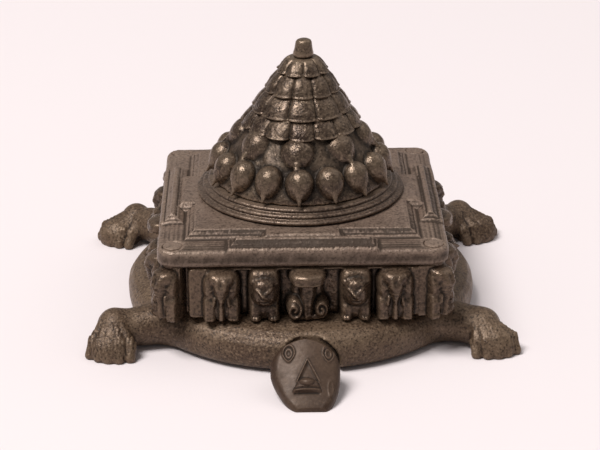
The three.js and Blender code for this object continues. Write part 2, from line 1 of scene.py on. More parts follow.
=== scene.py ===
import math
import bpy
import numpy as np
from mathutils import Matrix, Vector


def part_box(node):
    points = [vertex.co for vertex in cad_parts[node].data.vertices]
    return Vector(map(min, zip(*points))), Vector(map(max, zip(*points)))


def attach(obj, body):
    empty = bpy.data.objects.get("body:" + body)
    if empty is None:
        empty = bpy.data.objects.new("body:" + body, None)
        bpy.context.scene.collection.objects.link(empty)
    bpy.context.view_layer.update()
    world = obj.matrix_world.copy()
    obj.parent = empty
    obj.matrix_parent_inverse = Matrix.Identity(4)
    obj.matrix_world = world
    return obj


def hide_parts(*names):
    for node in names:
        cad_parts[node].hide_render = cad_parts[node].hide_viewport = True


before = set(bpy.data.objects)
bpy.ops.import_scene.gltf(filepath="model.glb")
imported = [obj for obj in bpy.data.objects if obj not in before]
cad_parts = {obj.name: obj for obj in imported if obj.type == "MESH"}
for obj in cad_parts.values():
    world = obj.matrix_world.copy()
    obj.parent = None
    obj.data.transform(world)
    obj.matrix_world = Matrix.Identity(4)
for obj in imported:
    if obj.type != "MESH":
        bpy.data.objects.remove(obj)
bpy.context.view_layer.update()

# Camera
# The photograph looks down on the head end from in front, a little from the left and from about two thirds
# of a metre away, with a long lens. Its place was worked out from the plate's corners and the paws.
plate_low, plate_high = (np.array(corner) * 1000 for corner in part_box("top_plate"))
centre = (plate_low + plate_high) / 2
centre[2] = 0.0
look_offset = np.array([-0.15, 0.0, 28.1])
look_at = centre + look_offset
camera_distance = 712.9
camera_lens = 122.6
camera_elevation = math.radians(22.82)
camera_azimuth = math.radians(-1.03)
camera_roll = math.radians(-0.205)
back = np.array([
    math.sin(camera_azimuth) * math.cos(camera_elevation),
    -math.cos(camera_azimuth) * math.cos(camera_elevation),
    math.sin(camera_elevation),
])
level = np.cross(-back, [0.0, 0.0, 1.0])
level /= np.linalg.norm(level)
upright = np.cross(level, -back)
side = level * math.cos(camera_roll) + upright * math.sin(camera_roll)
top = upright * math.cos(camera_roll) - level * math.sin(camera_roll)
eye = (look_at + camera_distance * back) / 1000
lens = bpy.data.cameras.new("photo_camera")
lens.lens = camera_lens
lens.clip_end = 20.0
camera = bpy.data.objects.new("photo_camera", lens)
camera.matrix_world = Matrix([
    [side[0], top[0], back[0], eye[0]],
    [side[1], top[1], back[1], eye[1]],
    [side[2], top[2], back[2], eye[2]],
    [0.0, 0.0, 0.0, 1.0],
])
bpy.context.scene.collection.objects.link(camera)
bpy.context.scene.camera = camera


# Tortoise body
# One hollow casting in dark bronze: a flat-topped disc that is open below, four bent legs whose paws carry
# the weight, and a short tail. The limbs run into the disc with soft fillets, as wax is joined before casting.
shell_top = np.array(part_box("tortoise_shell")[1])[2] * 1000 - 0.1
shell_outline = [
    (0.0, 14.5), (51.5, 14.5), (55.5, 13.7), (58.6, 12.0), (60.1, 9.8), (60.5, 7.6), (60.4, 5.0),
    (60.0, 3.0), (59.2, 1.6), (57.8, 1.2), (53.2, 1.6), (52.4, 5.2), (51.2, 7.8), (45.2, 10.3),
    (10.0, 10.3), (9.0, 8.1), (0.0, 8.1),
]
hollow_radius = 53.0
hollow_top = 9.9
limb_fillet = 3.2
front_root = np.array([-45.0, -33.5])
left_knee = np.array([-63.0, -38.4])
left_knee_top = 14.4
right_knee = np.array([-60.6, -38.8])
right_knee_top = 13.2
front_toes = np.array([-65.0, -50.6])
front_bearing = math.radians(12)
back_root = np.array([-42.0, 41.0])
back_knee = np.array([-60.8, 57.0])
back_knee_top = 13.2
back_toes = np.array([-71.0, 47.6])
back_bearing = math.radians(40)
arm_radii = (7.6, 6.4)
arm_heights = (7.6, 7.1)
knee_halves = [6.0, 6.6, 6.7]
paw_halves = [7.6, 6.0, 6.3]
toe_count = 5
toe_radii = (1.95, 1.8)
bone_radius = 1.4
fold_pitch = 1.15
fold_depth = 0.2
claw_spread = 75.68
tail_root, tail_tip = [0.0, 56.0, 6.2], [0.0, 69.2, 4.0]
tail_radii = (4.0, 2.2)
socket_middle = (1.3, 4.0)
socket_halves = (10.4, 8.9)
socket_back = 56.9
shell_step = 0.66


def smooth_union(first, second, blend):
    """Smaller of two distances, with a parabola of the given width laid into the corner between them."""
    overlap = np.clip(0.5 + 0.5 * (second - first) / blend, 0.0, 1.0)
    return second + (first - second) * overlap - blend * overlap * (1.0 - overlap)


def smooth_cut(body, tool, blend):
    """Distance to the body less the tool, with the edge between them rounded by the blend's width."""
    return -smooth_union(-body, tool, blend)


def egg(points, middle, halves):
    """Distance to an ellipsoid: length of the scaled vector less one, times the smallest half size near it."""
    offset = (points - np.asarray(middle)) / np.asarray(halves)
    length = np.linalg.norm(offset, axis=-1)
    slope = np.linalg.norm(offset / np.asarray(halves), axis=-1)
    return length * (length - 1.0) / np.maximum(slope, 1e-6)


def rod(points, start, end, start_radius, end_radius):
    """Distance to a tapered round bar: distance to its axis segment less the radius at the nearest point."""
    start, end = np.asarray(start, float), np.asarray(end, float)
    axis = end - start
    along = np.clip((points - start) @ axis / (axis @ axis), 0.0, 1.0)
    nearest = start + along[..., None] * axis
    return np.linalg.norm(points - nearest, axis=-1) - (start_radius + (end_radius - start_radius) * along)


def outline_distance(across, up, corners):
    """Signed distance in a plane to a polygon: the least distance to its edges, negative inside by ray count."""
    corners = np.asarray(corners, float)
    nearest = np.full(across.shape, np.inf)
    inside = np.zeros(across.shape, bool)
    for (ax, ay), (bx, by) in zip(corners, np.roll(corners, -1, axis=0)):
        dx, dy = bx - ax, by - ay
        along = np.clip(((across - ax) * dx + (up - ay) * dy) / (dx * dx + dy * dy), 0.0, 1.0)
        nearest = np.minimum(nearest, np.hypot(across - ax - along * dx, up - ay - along * dy))
        crosses = (ay > up) != (by > up)
        inside ^= crosses & (across < dx * (up - ay) / (dy if dy else 1e-9) + ax)
    return np.where(inside, -nearest, nearest)


def skin_of(distance, low, high, step):
    """Closed skin where a distance function is zero.

    Every grid cell that the skin crosses gets one corner point, the mean of the crossings on its edges,
    moved onto the skin along the slope. Every grid edge that crosses gets the face between its four cells.
    """
    axes = [np.arange(a, b + step, step) for a, b in zip(low, high)]
    grid = np.stack(np.meshgrid(*axes, indexing="ij"), axis=-1)
    field = distance(grid)
    inside = field < 0
    cells = tuple(n - 1 for n in field.shape)
    total = np.zeros(cells + (3,))
    count = np.zeros(cells)
    for axis in range(3):
        others = [a for a in range(3) if a != axis]
        for shift_a in (0, 1):
            for shift_b in (0, 1):
                first = [slice(0, n) for n in cells]
                first[others[0]] = slice(shift_a, shift_a + cells[others[0]])
                first[others[1]] = slice(shift_b, shift_b + cells[others[1]])
                second = list(first)
                second[axis] = slice(1, 1 + cells[axis])
                first, second = tuple(first), tuple(second)
                crossing = inside[first] != inside[second]
                drop = np.where(crossing, field[first] - field[second], 1.0)
                part = np.where(crossing, field[first] / drop, 0.0)
                place = grid[first] + part[..., None] * (grid[second] - grid[first])
                total += np.where(crossing[..., None], place, 0.0)
                count += crossing
    used = count > 0
    number = np.full(cells, -1)
    number[used] = np.arange(used.sum())
    points = total[used] / count[used][:, None]
    faces = []
    for axis in range(3):
        b, c = (axis + 1) % 3, (axis + 2) % 3
        first = [slice(1, n - 1) for n in field.shape]
        second = list(first)
        first[axis] = slice(0, field.shape[axis] - 1)
        second[axis] = slice(1, field.shape[axis])
        crossing = inside[tuple(first)] != inside[tuple(second)]
        spot = np.argwhere(crossing)
        spot[:, b] += 1
        spot[:, c] += 1
        corner = []
        for step_b, step_c in ((1, 1), (0, 1), (0, 0), (1, 0)):
            cell = spot.copy()
            cell[:, b] -= step_b
            cell[:, c] -= step_c
            corner.append(number[tuple(cell.T)])
        quads = np.stack(corner, axis=1)
        outward = inside[tuple(first)][crossing]
        faces.append(np.where(outward[:, None], quads, quads[:, ::-1]))
    faces = np.concatenate(faces)
    small = 0.02
    for _ in range(2):
        slope = np.stack([
            distance(points + small * unit) - distance(points - small * unit) for unit in np.eye(3)
        ], axis=-1) / (2 * small)
        square = np.maximum((slope * slope).sum(-1), 0.05)
        move = -distance(points)[:, None] * slope / square[:, None]
        length = np.linalg.norm(move, axis=1, keepdims=True)
        points = points + move * np.minimum(1.0, 0.5 * step / np.maximum(length, 1e-9))
    return points, faces


def hand_waver(points, size, seed):
    """Slow unevenness of a hand-finished wax, from -1 to 1: mean of nine sine waves in scattered directions."""
    dice = np.random.default_rng(seed)
    total = np.zeros(points.shape[:-1])
    for _ in range(9):
        direction = dice.normal(size=3)
        direction *= dice.uniform(0.6, 1.6) / np.linalg.norm(direction)
        total += np.sin(2 * np.pi * (points @ direction) / size + dice.uniform(0, 2 * np.pi))
    return total / 4.5


def proudness_of(points, faces, rounds):
    """How far a point stands proud of its neighbourhood, from 0 in a hollow through 0.5 on a flat to 1 on an edge.

    The points are averaged with their neighbours for some rounds; the result is the distance moved, measured
    along the normal, over the size of the neighbourhood.
    """
    edges = np.concatenate([faces[:, [i, (i + 1) % faces.shape[1]]] for i in range(faces.shape[1])])
    count = np.bincount(edges.ravel(), minlength=len(points))
    diagonal = points[faces[:, 2]] - points[faces[:, 0]]
    other = points[faces[:, -1]] - points[faces[:, 1]]
    face_normal = np.cross(diagonal, other)
    normal = np.stack([
        sum(np.bincount(faces[:, i], face_normal[:, axis], len(points)) for i in range(faces.shape[1]))
        for axis in range(3)
    ], axis=-1)
    normal /= np.maximum(np.linalg.norm(normal, axis=1, keepdims=True), 1e-12)
    smooth = points.copy()
    for _ in range(rounds):
        mean = np.stack([
            np.bincount(edges[:, 0], smooth[edges[:, 1], axis], len(points))
            + np.bincount(edges[:, 1], smooth[edges[:, 0], axis], len(points))
            for axis in range(3)
        ], axis=-1)
        smooth = 0.5 * smooth + 0.5 * mean / np.maximum(count, 1)[:, None]
    proud = ((points - smooth) * normal).sum(1)
    pitch = np.median(np.linalg.norm(points[edges[:, 0]] - points[edges[:, 1]], axis=1))
    return np.clip(0.5 + proud / (pitch * math.sqrt(rounds) * 0.5), 0.0, 1.0)


def bronze_piece(name, points, faces, node, material, proudness_rounds=14, shade=0.0):
    """Closed skin in millimetres about the plate's middle, put into the scene in metres in a CAD node's place.

    The shade is taken off the wear, so that the given parts count as hollows and turn darker. It is mostly
    painted shade, and painted light where it is negative.
    """
    mesh = bpy.data.meshes.new(name)
    mesh.from_pydata(((points + centre) / 1000).tolist(), [], faces.tolist())
    mesh.polygons.foreach_set("use_smooth", np.ones(len(faces), bool))
    wear_and_shade = mesh.attributes.new("wear_and_shade", "FLOAT", "POINT")
    # The attribute holds the real wear of edges and the hollows, less the painted shade given.
    worn_and_shaded = np.clip(proudness_of(points, faces, proudness_rounds) - shade, 0.0, 1.0)
    wear_and_shade.data.foreach_set("value", worn_and_shaded.astype(np.float32))
    mesh.materials.append(material)
    mesh.update()
    piece = bpy.data.objects.new(name, mesh)
    bpy.context.scene.collection.objects.link(piece)
    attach(piece, "root")
    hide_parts(node)


def join_parts(parts):
    """Several skins as one list of points and one of faces, each skin's numbers moved past those before it."""
    points = np.concatenate([part[0] for part in parts])
    starts = np.cumsum([0] + [len(part[0]) for part in parts[:-1]])
    faces = np.concatenate([part[1] + start for part, start in zip(parts, starts)])
    return points, faces


def bronze_grain():
    """Node group for cast and patinated bronze.

    It puts out the colour, roughness and height of the surface. The colour goes from a dark hollow through
    the patina to the rubbed metal of an edge by the attribute of wear and painted shade, mottled by slow and
    fine noise. The dark of a hollow is partly patina and partly painted shade, standing in for the shade that
    falls in recesses. A pale crust lies in the sheltered places. The height is a fine sandy grain with
    scattered pits and soft swells.
    """
    group = bpy.data.node_groups.new("bronze_grain", "ShaderNodeTree")
    for socket, kind, value in (
        ("Patina", "NodeSocketColor", (0.1, 0.07, 0.05, 1.0)),
        ("Dark", "NodeSocketColor", (0.02, 0.014, 0.01, 1.0)),
        ("Rubbed", "NodeSocketColor", (0.3, 0.24, 0.18, 1.0)),
        ("Dust", "NodeSocketFloat", 0.3),
        ("Rub", "NodeSocketFloat", 0.6),
        ("Grain", "NodeSocketFloat", 1.0),
        ("Crust", "NodeSocketFloat", 0.0),
        ("Dull", "NodeSocketFloat", 0.0),
    ):
        entry = group.interface.new_socket(socket, in_out="INPUT", socket_type=kind)
        entry.default_value = value
    group.interface.new_socket("Color", in_out="OUTPUT", socket_type="NodeSocketColor")
    group.interface.new_socket("Roughness", in_out="OUTPUT", socket_type="NodeSocketFloat")
    group.interface.new_socket("Height", in_out="OUTPUT", socket_type="NodeSocketFloat")
    nodes, links = group.nodes, group.links

    def add(kind, **settings):
        node = nodes.new(kind)
        for key, value in settings.items():
            setattr(node, key, value)
        return node

    def math_node(operation, first, second=None, clamp=False):
        node = add("ShaderNodeMath", operation=operation, use_clamp=clamp)
        for index, value in enumerate((first, second)):
            if value is None:
                continue
            if isinstance(value, (int, float)):
                node.inputs[index].default_value = value
            else:
                links.new(value, node.inputs[index])
        return node.outputs[0]

    def times(first, second):
        return math_node("MULTIPLY", first, second)

    def blend(factor, first, second, mode="MIX"):
        node = add("ShaderNodeMix", data_type="RGBA", blend_type=mode)
        for index, value in ((0, factor), (6, first), (7, second)):
            if isinstance(value, (int, float, tuple)):
                node.inputs[index].default_value = value
            else:
                links.new(value, node.inputs[index])
        return node.outputs[2]

    def spread(value, low, high, to_low=0.0, to_high=1.0):
        node = add("ShaderNodeMapRange", interpolation_type="SMOOTHSTEP")
        links.new(value, node.inputs["Value"])
        node.inputs["From Min"].default_value = low
        node.inputs["From Max"].default_value = high
        node.inputs["To Min"].default_value = to_low
        node.inputs["To Max"].default_value = to_high
        return node.outputs["Result"]

    def noise(scale, detail, roughness):
        node = add("ShaderNodeTexNoise")
        node.inputs["Scale"].default_value = scale
        node.inputs["Detail"].default_value = detail
        node.inputs["Roughness"].default_value = roughness
        links.new(coordinates.outputs["Object"], node.inputs["Vector"])
        return node.outputs["Fac"]

    patina, dark, rubbed, dust, rub, grain, crusted, dull = list(add("NodeGroupInput").outputs)[:8]
    outputs = add("NodeGroupOutput")
    coordinates = add("ShaderNodeTexCoord")
    wear_and_shade = add("ShaderNodeAttribute", attribute_name="wear_and_shade").outputs["Fac"]
    slow = noise(38.0, 4.0, 0.6)
    middle = noise(190.0, 5.0, 0.62)
    fine = noise(1250.0, 3.0, 0.6)
    cells = add("ShaderNodeTexVoronoi", feature="F1")
    cells.inputs["Scale"].default_value = 620.0
    links.new(coordinates.outputs["Object"], cells.inputs["Vector"])
    pits = spread(cells.outputs["Distance"], 0.0, 0.22, 1.0, 0.0)
    rare = spread(middle, 0.56, 0.66)
    pits = times(pits, rare)

    uneven = math_node("ADD", wear_and_shade, times(math_node("SUBTRACT", middle, 0.5), 0.17))
    # Hollows darken towards the dark colour: partly patina, partly painted shade standing in for shade in
    # recesses.
    hollow = spread(uneven, 0.5, 0.22)
    edge = times(spread(uneven, 0.56, 0.86), rub)
    mottled = blend(spread(slow, 0.35, 0.68), patina, blend(0.5, patina, rubbed))
    dusted = blend(times(spread(middle, 0.48, 0.75), dust), mottled, rubbed)
    sandy = times(grain, 0.75)
    speckled = blend(times(spread(fine, 0.51, 0.66), sandy), dusted, dark)
    speckled = blend(times(spread(fine, 0.47, 0.33), sandy), speckled, rubbed)
    shaded_in_hollows = blend(times(hollow, 0.92), speckled, dark)
    sheltered = times(spread(wear_and_shade, 0.47, 0.3), spread(wear_and_shade, 0.02, 0.14))
    patchy = times(spread(middle, 0.36, 0.6), spread(fine, 0.4, 0.56))
    crust = times(times(sheltered, patchy), crusted)
    shaded_in_hollows = blend(crust, shaded_in_hollows, rubbed)
    pitted = blend(times(pits, 0.35), shaded_in_hollows, dark)
    links.new(blend(edge, pitted, rubbed), outputs.inputs["Color"])

    rough = spread(middle, 0.3, 0.75, 0.26, 0.46)
    rough = math_node("ADD", rough, times(hollow, 0.25))
    rough = math_node("ADD", rough, dull)
    rough = math_node("SUBTRACT", rough, times(edge, 0.1), clamp=True)
    links.new(rough, outputs.inputs["Roughness"])

    height = times(fine, 0.55)
    height = math_node("ADD", height, times(middle, 0.9))
    height = times(height, grain)
    height = math_node("SUBTRACT", height, times(pits, 0.8))
    links.new(height, outputs.inputs["Height"])
    return group


grain_group = bronze_grain()


def bronze(name, patina, dark, rubbed, dust, rub, grain, metallic, crust=0.0, dull=0.0):
    """Material of one casting: the shared grain, with this casting's own patina and how far it is rubbed.

    Crust is a pale deposit in sheltered places, and dull is added to the roughness.
    """
    material = bpy.data.materials.new(name)
    material.use_nodes = True
    nodes, links = material.node_tree.nodes, material.node_tree.links
    shader = nodes["Principled BSDF"]
    surface = nodes.new("ShaderNodeGroup")
    surface.node_tree = grain_group
    for socket, value in (
        ("Patina", (*patina, 1.0)), ("Dark", (*dark, 1.0)), ("Rubbed", (*rubbed, 1.0)), ("Dust", dust),
        ("Rub", rub), ("Grain", grain), ("Crust", crust), ("Dull", dull),
    ):
        surface.inputs[socket].default_value = value
    bump = nodes.new("ShaderNodeBump")
    bump.inputs["Strength"].default_value = 0.8
    bump.inputs["Distance"].default_value = 0.0004
    shader.inputs["Metallic"].default_value = metallic
    shader.inputs["Specular Tint"].default_value = (1.0, 0.87, 0.78, 1.0)
    links.new(surface.outputs["Color"], shader.inputs["Base Color"])
    links.new(surface.outputs["Roughness"], shader.inputs["Roughness"])
    links.new(surface.outputs["Height"], bump.inputs["Height"])
    links.new(bump.outputs["Normal"], shader.inputs["Normal"])
    return material


body_bronze = bronze(
    "body_bronze", patina=(0.088, 0.053, 0.033), dark=(0.011, 0.006, 0.004), rubbed=(0.24, 0.165, 0.108),
    dust=0.4, rub=0.42, grain=1.1, metallic=0.25, dull=0.1,
)


def leg_distance(points, root, knee, knee_top, toes, bearing):
    """Distance to one leg: an arm bar, a knee ball and a fist of a paw in smooth union.

    The paw is a low egg with five toes on it, each a bar bent down over the knuckle, and fine folds across.
    """
    ahead = np.array([-math.sin(bearing), -math.cos(bearing)])
    across = np.array([-ahead[1], ahead[0]])
    elbow = root * 0.3 + knee * 0.7
    arm = rod(points, [*root, arm_heights[0]], [*elbow, arm_heights[1]], *arm_radii)
    knee_ball = egg(points, [*knee, knee_top - 6.6], knee_halves)
    wedge = egg(points, [*(toes - ahead * 6.2), 2.6], paw_halves)
    paw = smooth_union(knee_ball, wedge, 3.0)
    fist = np.full(points.shape[:-1], 9.0)
    for index in range(toe_count):
        place = (index - (toe_count - 1) / 2) / ((toe_count - 1) / 2)
        spread = across * place
        tip = toes + spread * 6.9 - ahead * (1.5 + 2.0 * place * place)
        knuckle = toes + spread * 6.3 - ahead * (3.9 + 2.0 * place * place)
        knuckle_height = 6.2 - 1.2 * place * place
        wrist = knee + spread * 3.4 + ahead * 3.6
        toe = rod(points, [*knuckle, knuckle_height], [*tip, 1.3], *toe_radii)
        bone = rod(points, [*wrist, knee_top - 4.0], [*knuckle, knuckle_height], bone_radius, toe_radii[0])
        fist = smooth_union(fist, smooth_union(toe, bone, 0.8), 0.35)
    paw = smooth_union(paw, fist, 0.7)
    offset = points[..., :2] - toes
    aside, forth = offset @ across, offset @ ahead
    folded = np.clip((forth + 9.5) / 2.5, 0.0, 1.0) * np.clip((points[..., 2] - 0.8) / 2.0, 0.0, 1.0)
    paw = paw - fold_depth * folded * np.sin(aside * 2 * np.pi / fold_pitch + 1.3 * np.sin(points[..., 2] * 0.9))
    return smooth_union(arm, paw, 2.2)


def socket_distance(points):
    """Distance to the arched socket in the disc's rim that the head's neck is let into."""
    aside = (points[..., 0] - socket_middle[0]) / socket_halves[0]
    above = (points[..., 2] - socket_middle[1]) / socket_halves[1]
    arch = (np.hypot(aside, above) - 1.0) * socket_halves[1]
    return np.maximum(arch, points[..., 1] + socket_back)


def shell_distance(points):
    """Distance to the whole casting: the disc's profile turned round Z, with the limbs in smooth union.

    Both sides share one leg by mirroring X, but for the knees. The claws, the seat and the floor are flat cuts.
    """
    place = points.copy()
    place[..., 0] = -np.abs(points[..., 0])
    radius = np.hypot(points[..., 0], points[..., 1])
    disc = outline_distance(radius, points[..., 2], shell_outline)
    front = np.where(
        points[..., 0] < 0,
        leg_distance(place, front_root, left_knee, left_knee_top, front_toes, front_bearing),
        leg_distance(place, front_root, right_knee, right_knee_top, front_toes, front_bearing),
    )
    rear = leg_distance(place, back_root, back_knee, back_knee_top, back_toes, back_bearing)
    tail = rod(place, tail_root, tail_tip, *tail_radii)
    limbs = np.minimum(np.minimum(front, rear), tail)
    hollow = np.maximum(radius - hollow_radius, points[..., 2] - hollow_top)
    limbs = np.maximum(limbs, -hollow)
    whole = smooth_union(disc, limbs, limb_fillet)
    whole = whole - 0.12 * hand_waver(points, 26.0, 3)
    whole = smooth_cut(np.maximum(whole, points[..., 2] - shell_top), socket_distance(points), 0.5)
    return np.maximum(np.maximum(whole, np.abs(points[..., 0]) - claw_spread), -points[..., 2])


shell_points, shell_faces = skin_of(shell_distance, (-78.5, -62.5, -1.2), (78.5, 74.0, 16.2), shell_step)
bronze_piece("tortoise_body", shell_points, shell_faces, "tortoise_shell", body_bronze)


# Tortoise head
# A separate casting whose neck is let into the body's rim. A long sloping face with a three-cornered snout,
# ringed almond eyes and a straight mouth, cut and raised in the wax; its crown leaves a dark joint at the rim.
chin_reach = 86.0
head_front = 85.8
crown_reach = 68.0
crown_height = 16.2
face_length = math.hypot(chin_reach - crown_reach, crown_height)
eye_spread = 6.4
eye_level = 0.825
eye_half = (1.8, 2.75)
snout_corners = [(-0.4, 0.735), (3.6, 0.40), (-4.0, 0.41)]
mouth_level = 0.285
neck_root, neck_end = [0.6, 54.0, 6.2], [0.0, 71.0, 6.2]
neck_radii = (5.0, 5.2)
neck_back = 57.0
throat_place = 79.0
throat_slope = (-7.0, -13.0)
bevel_round = 0.9
head_step = 0.25


def face_relief(across, up):
    """Height of the face's carving above its dome, in millimetres, at a place across and up the face.

    Eyes are a ridge round an almond with a smaller ring inside. The snout is a sunk triangle with a ridge along
    its two upper edges and the nose as a mound over its foot. The mouth is a lip ridge over a groove.
    """
    above_eye = (up - eye_level) * face_length
    aside = np.abs(across) - eye_spread
    pointed = 1.0 + 0.55 * np.clip(-above_eye / eye_half[1], 0.0, 1.2) ** 2
    ring = np.hypot(aside * pointed / eye_half[0], above_eye / eye_half[1])
    relief = 0.42 * np.exp(-((ring - 1.0) * 2.0 / 0.3) ** 2) - 0.45 * np.clip(1.0 - ring ** 2, 0.0, 1.0) ** 0.5
    relief += 0.3 * np.exp(-((ring - 0.5) * 2.0 / 0.3) ** 2)
    corners = [(x, level * face_length) for x, level in snout_corners]
    edge = outline_distance(across, up * face_length, corners)
    over_foot = np.clip((up - snout_corners[1][1]) * face_length / 0.6, 0.0, 1.0)
    relief += 0.36 * np.exp(-(edge / 0.26) ** 2) * over_foot
    relief -= 0.4 * np.clip(-edge / 0.9, 0.0, 1.0) * over_foot
    lip = (up - mouth_level) * face_length
    snout_half = 4.6 - 0.5 * np.clip(lip, 0.0, 5.0)
    aside = across + 0.7 - 0.08 * lip
    snout = np.clip(1.0 - (aside / snout_half) ** 2, 0.0, 1.0) ** 0.45
    snout = snout * np.clip((lip + 0.7) / 1.0, 0.0, 1.0) * (1.0 - np.clip((lip - 1.2) / 3.4, 0.0, 1.0) ** 1.6)
    relief += 1.15 * snout
    nose = np.hypot((across + 0.7) / 2.3, (lip - 3.0) / 1.5)
    relief += 1.15 * np.clip(1.0 - nose ** 2, 0.0, 1.0) ** 0.6
    relief += 0.35 * np.exp(-((nose - 0.9) / 0.2) ** 2) * np.clip((0.2 - across) / 1.2, 0.0, 1.0) * (lip > 3.2)
    width = np.clip((4.4 - np.abs(aside)) / 0.6, 0.0, 1.0)
    fade = np.clip((3.6 - across) / 6.0, 0.3, 1.0)
    relief += width * fade * 0.45 * np.exp(-((lip - 0.15) / 0.35) ** 2)
    relief -= width * (0.2 * np.exp(-((lip + 0.8) / 0.45) ** 2) + 0.35 * np.exp(-((lip - 0.95) / 0.35) ** 2))
    leaf = np.hypot((across - 6.9) / 0.8, (up - 0.33) * face_length / 2.6)
    return relief + 0.2 * np.exp(-((leaf - 1.0) / 0.3) ** 2)


def head_distance(points):
    """Distance to the head.

    A domed and carved face plane meets the face's outline in a narrow bevel. Up the face, the half width grows
    fast from the chin to three fifths and then closes in a round arch. A throat plane and a neck are behind it.
    """
    x, y, z = points[..., 0], -points[..., 1], points[..., 2]
    along = np.array([crown_reach - chin_reach, crown_height]) / face_length
    out = (y - chin_reach) * along[1] - z * along[0]
    up = ((y - chin_reach) * along[0] + z * along[1]) / face_length
    low = np.clip(1.0 - up / 0.6, 0.0, 1.05)
    high = np.clip((up - 0.6) / 0.425, 0.0, 1.0)
    half = np.where(up < 0.6, 5.4 + 6.0 * (1 - low ** 1.9), 11.4 * (1 - high ** 2.6) ** 0.5)
    middle = 0.1 + 1.5 * np.clip(1.0 - up / 0.55, 0.0, 1.0)
    depth = np.clip(-out, 0.0, 12.0)
    sides = np.abs(x - middle) - half + 0.014 * depth ** 2
    across = x - 1.15
    arched = 0.021 * np.clip(up / 0.35, 0.25, 1.0)
    dome = 1.1 - arched * (x - middle) ** 2 - 0.7 * np.clip(0.1 - up, 0.0, 0.3) / 0.3
    face = out - dome - face_relief(across, up)
    bevel = (sides + face + 1.5) / math.sqrt(2.0)
    skull = smooth_cut(smooth_cut(sides, -face, bevel_round), -bevel, bevel_round)
    throat = ((y - throat_place) * throat_slope[0] + z * throat_slope[1]) / math.hypot(*throat_slope)
    skull = smooth_cut(np.maximum(skull, -out - 9.5), -throat, 2.0)
    neck = rod(np.stack([x, y, z], axis=-1), neck_root, neck_end, *neck_radii)
    whole = smooth_union(skull, neck, 2.0) - 0.05 * hand_waver(points, 11.0, 8) - 0.02 * hand_waver(points, 2.4, 9)
    rim = outline_distance(np.hypot(x, y), z, shell_outline) - 0.3
    rim = np.maximum(rim, -socket_distance(points))
    whole = np.maximum(whole, y - head_front)
    return np.maximum(np.maximum(whole, -rim), np.maximum(-z, neck_back - y))


head_points, head_faces = skin_of(head_distance, (-12.6, -87.4, -0.8), (12.6, -56.0, 17.6), head_step)
head_bronze = bronze(
    "head_bronze", patina=(0.036, 0.018, 0.011), dark=(0.01, 0.006, 0.004), rubbed=(0.14, 0.088, 0.058),
    dust=0.08, rub=0.4, grain=0.3, metallic=0.15, dull=0.14,
)
bronze_piece("tortoise_head_casting", head_points, head_faces, "tortoise_head", head_bronze, 10)


# Frieze
# Four equal castings laid one after the other round the square. Each is a wall with a plain end post, figures
# modelled in high relief (elephant, lion, hooded serpent, lion, elephant) and a block with an elephant round the
# corner; the open joints between castings show black.
frieze_floor = 14.8
frieze_height = 18.1
frieze_half = 38.0
wall_out = 5.3
post_width = 5.1
block_out = 9.3
rail_height = 1.6
rail_out = 3.4
column_step = 0.26
curl_count = 6
corner_radius = 12.5
fill_edges = (-29.6, 33.8)
fill_out = (4.1, 4.0)
plain_out = 1.1
end_round = 1.6
block_square = 3.6
gap_start = 1.32
gap_depth = 1.4
side_figures = [("elephant", -26.9), ("lion", -12.8), ("serpent", 1.4), ("lion", 17.2), ("elephant", 30.2)]


def lump(across, up, place, halves, out, square=2.0, roundness=0.5):
    """Height of one lump of relief: a dome on a superellipse, its rim steeper as the roundness gets smaller.

    The place and the half sizes are given across and up, in millimetres from the middle of the figure's foot.
    """
    spread = np.abs((across - place[0]) / halves[0]) ** square + np.abs((up - place[1]) / halves[1]) ** square
    return out * np.clip(1.0 - spread, 0.0, 1.0) ** roundness


def bar(across, up, start, end, width, out):
    """Height of a raised bar between two places, with a round section that fades at its ends."""
    dx, dy = end[0] - start[0], end[1] - start[1]
    along = np.clip(((across - start[0]) * dx + (up - start[1]) * dy) / (dx * dx + dy * dy), 0.0, 1.0)
    away = np.hypot(across - start[0] - along * dx, up - start[1] - along * dy) / width
    return out * np.exp(-away ** 2)


def elephant_relief(across, up):
    """Elephant seen from the front: ears like fans, a wide forehead that narrows into the trunk, and two legs."""
    aside = np.abs(across)
    body = lump(across, up, (0.0, 8.4), (5.8, 9.0), 6.7, 6.0, 0.3)
    ears = lump(aside, up, (4.1, 11.7), (2.1, 4.6), 6.9, 2.6, 0.35)
    folds = np.cos(7.0 * np.arctan2(aside - 1.6, up - 15.8))
    ears = ears + np.where(ears > 0.5, 0.22 * folds, 0.0)
    legs = lump(aside, up, (3.9, 3.0), (2.3, 6.4), 7.2, 5.0, 0.35)
    toes = 0.55 * np.exp(-((up - 0.8) / 0.8) ** 2) * (0.6 + 0.4 * np.cos(aside * 6.0))
    legs = legs + np.where(legs > 1.0, toes, 0.0)
    crown = lump(across, up, (0.0, 14.6), (5.3, 2.9), 8.2, 3.0, 0.4)
    temples = bar(aside, up, (1.25, 14.4), (1.5, 12.9), 1.0, 0.9)
    width = np.interp(up, [0.2, 3.0, 5.6, 6.6, 8.2, 10.2, 13.2, 15.0], [1.5, 1.35, 1.15, 1.0, 2.0, 3.1, 3.8, 3.4])
    section = np.clip(1.0 - np.abs(across / width) ** 2.2, 0.0, 1.0) ** 0.4
    reach = np.interp(up, [0.2, 5.6, 7.0, 12.0, 15.6], [8.5, 8.3, 8.7, 9.5, 7.6])
    trunk = section * reach * (up > 0.35) * (up < 15.6)
    trunk = trunk - np.where((up > 6.0) & (up < 12.0), 0.16 * (1 + np.cos(up * 2 * np.pi / 1.2)), 0.0)
    trunk = trunk - np.where(up < 5.6, 0.3 * (1 + np.cos(across * 5.2)), 0.0) * (trunk > 3.0)
    tusks = bar(aside, up, (2.2, 8.4), (2.5, 6.0), 0.5, 1.3)
    whole = np.maximum.reduce([body, ears, legs, crown, trunk])
    eyes = bar(aside, up, (2.9, 11.7), (3.2, 11.2), 0.42, 0.6)
    return whole + tusks + temples + eyes


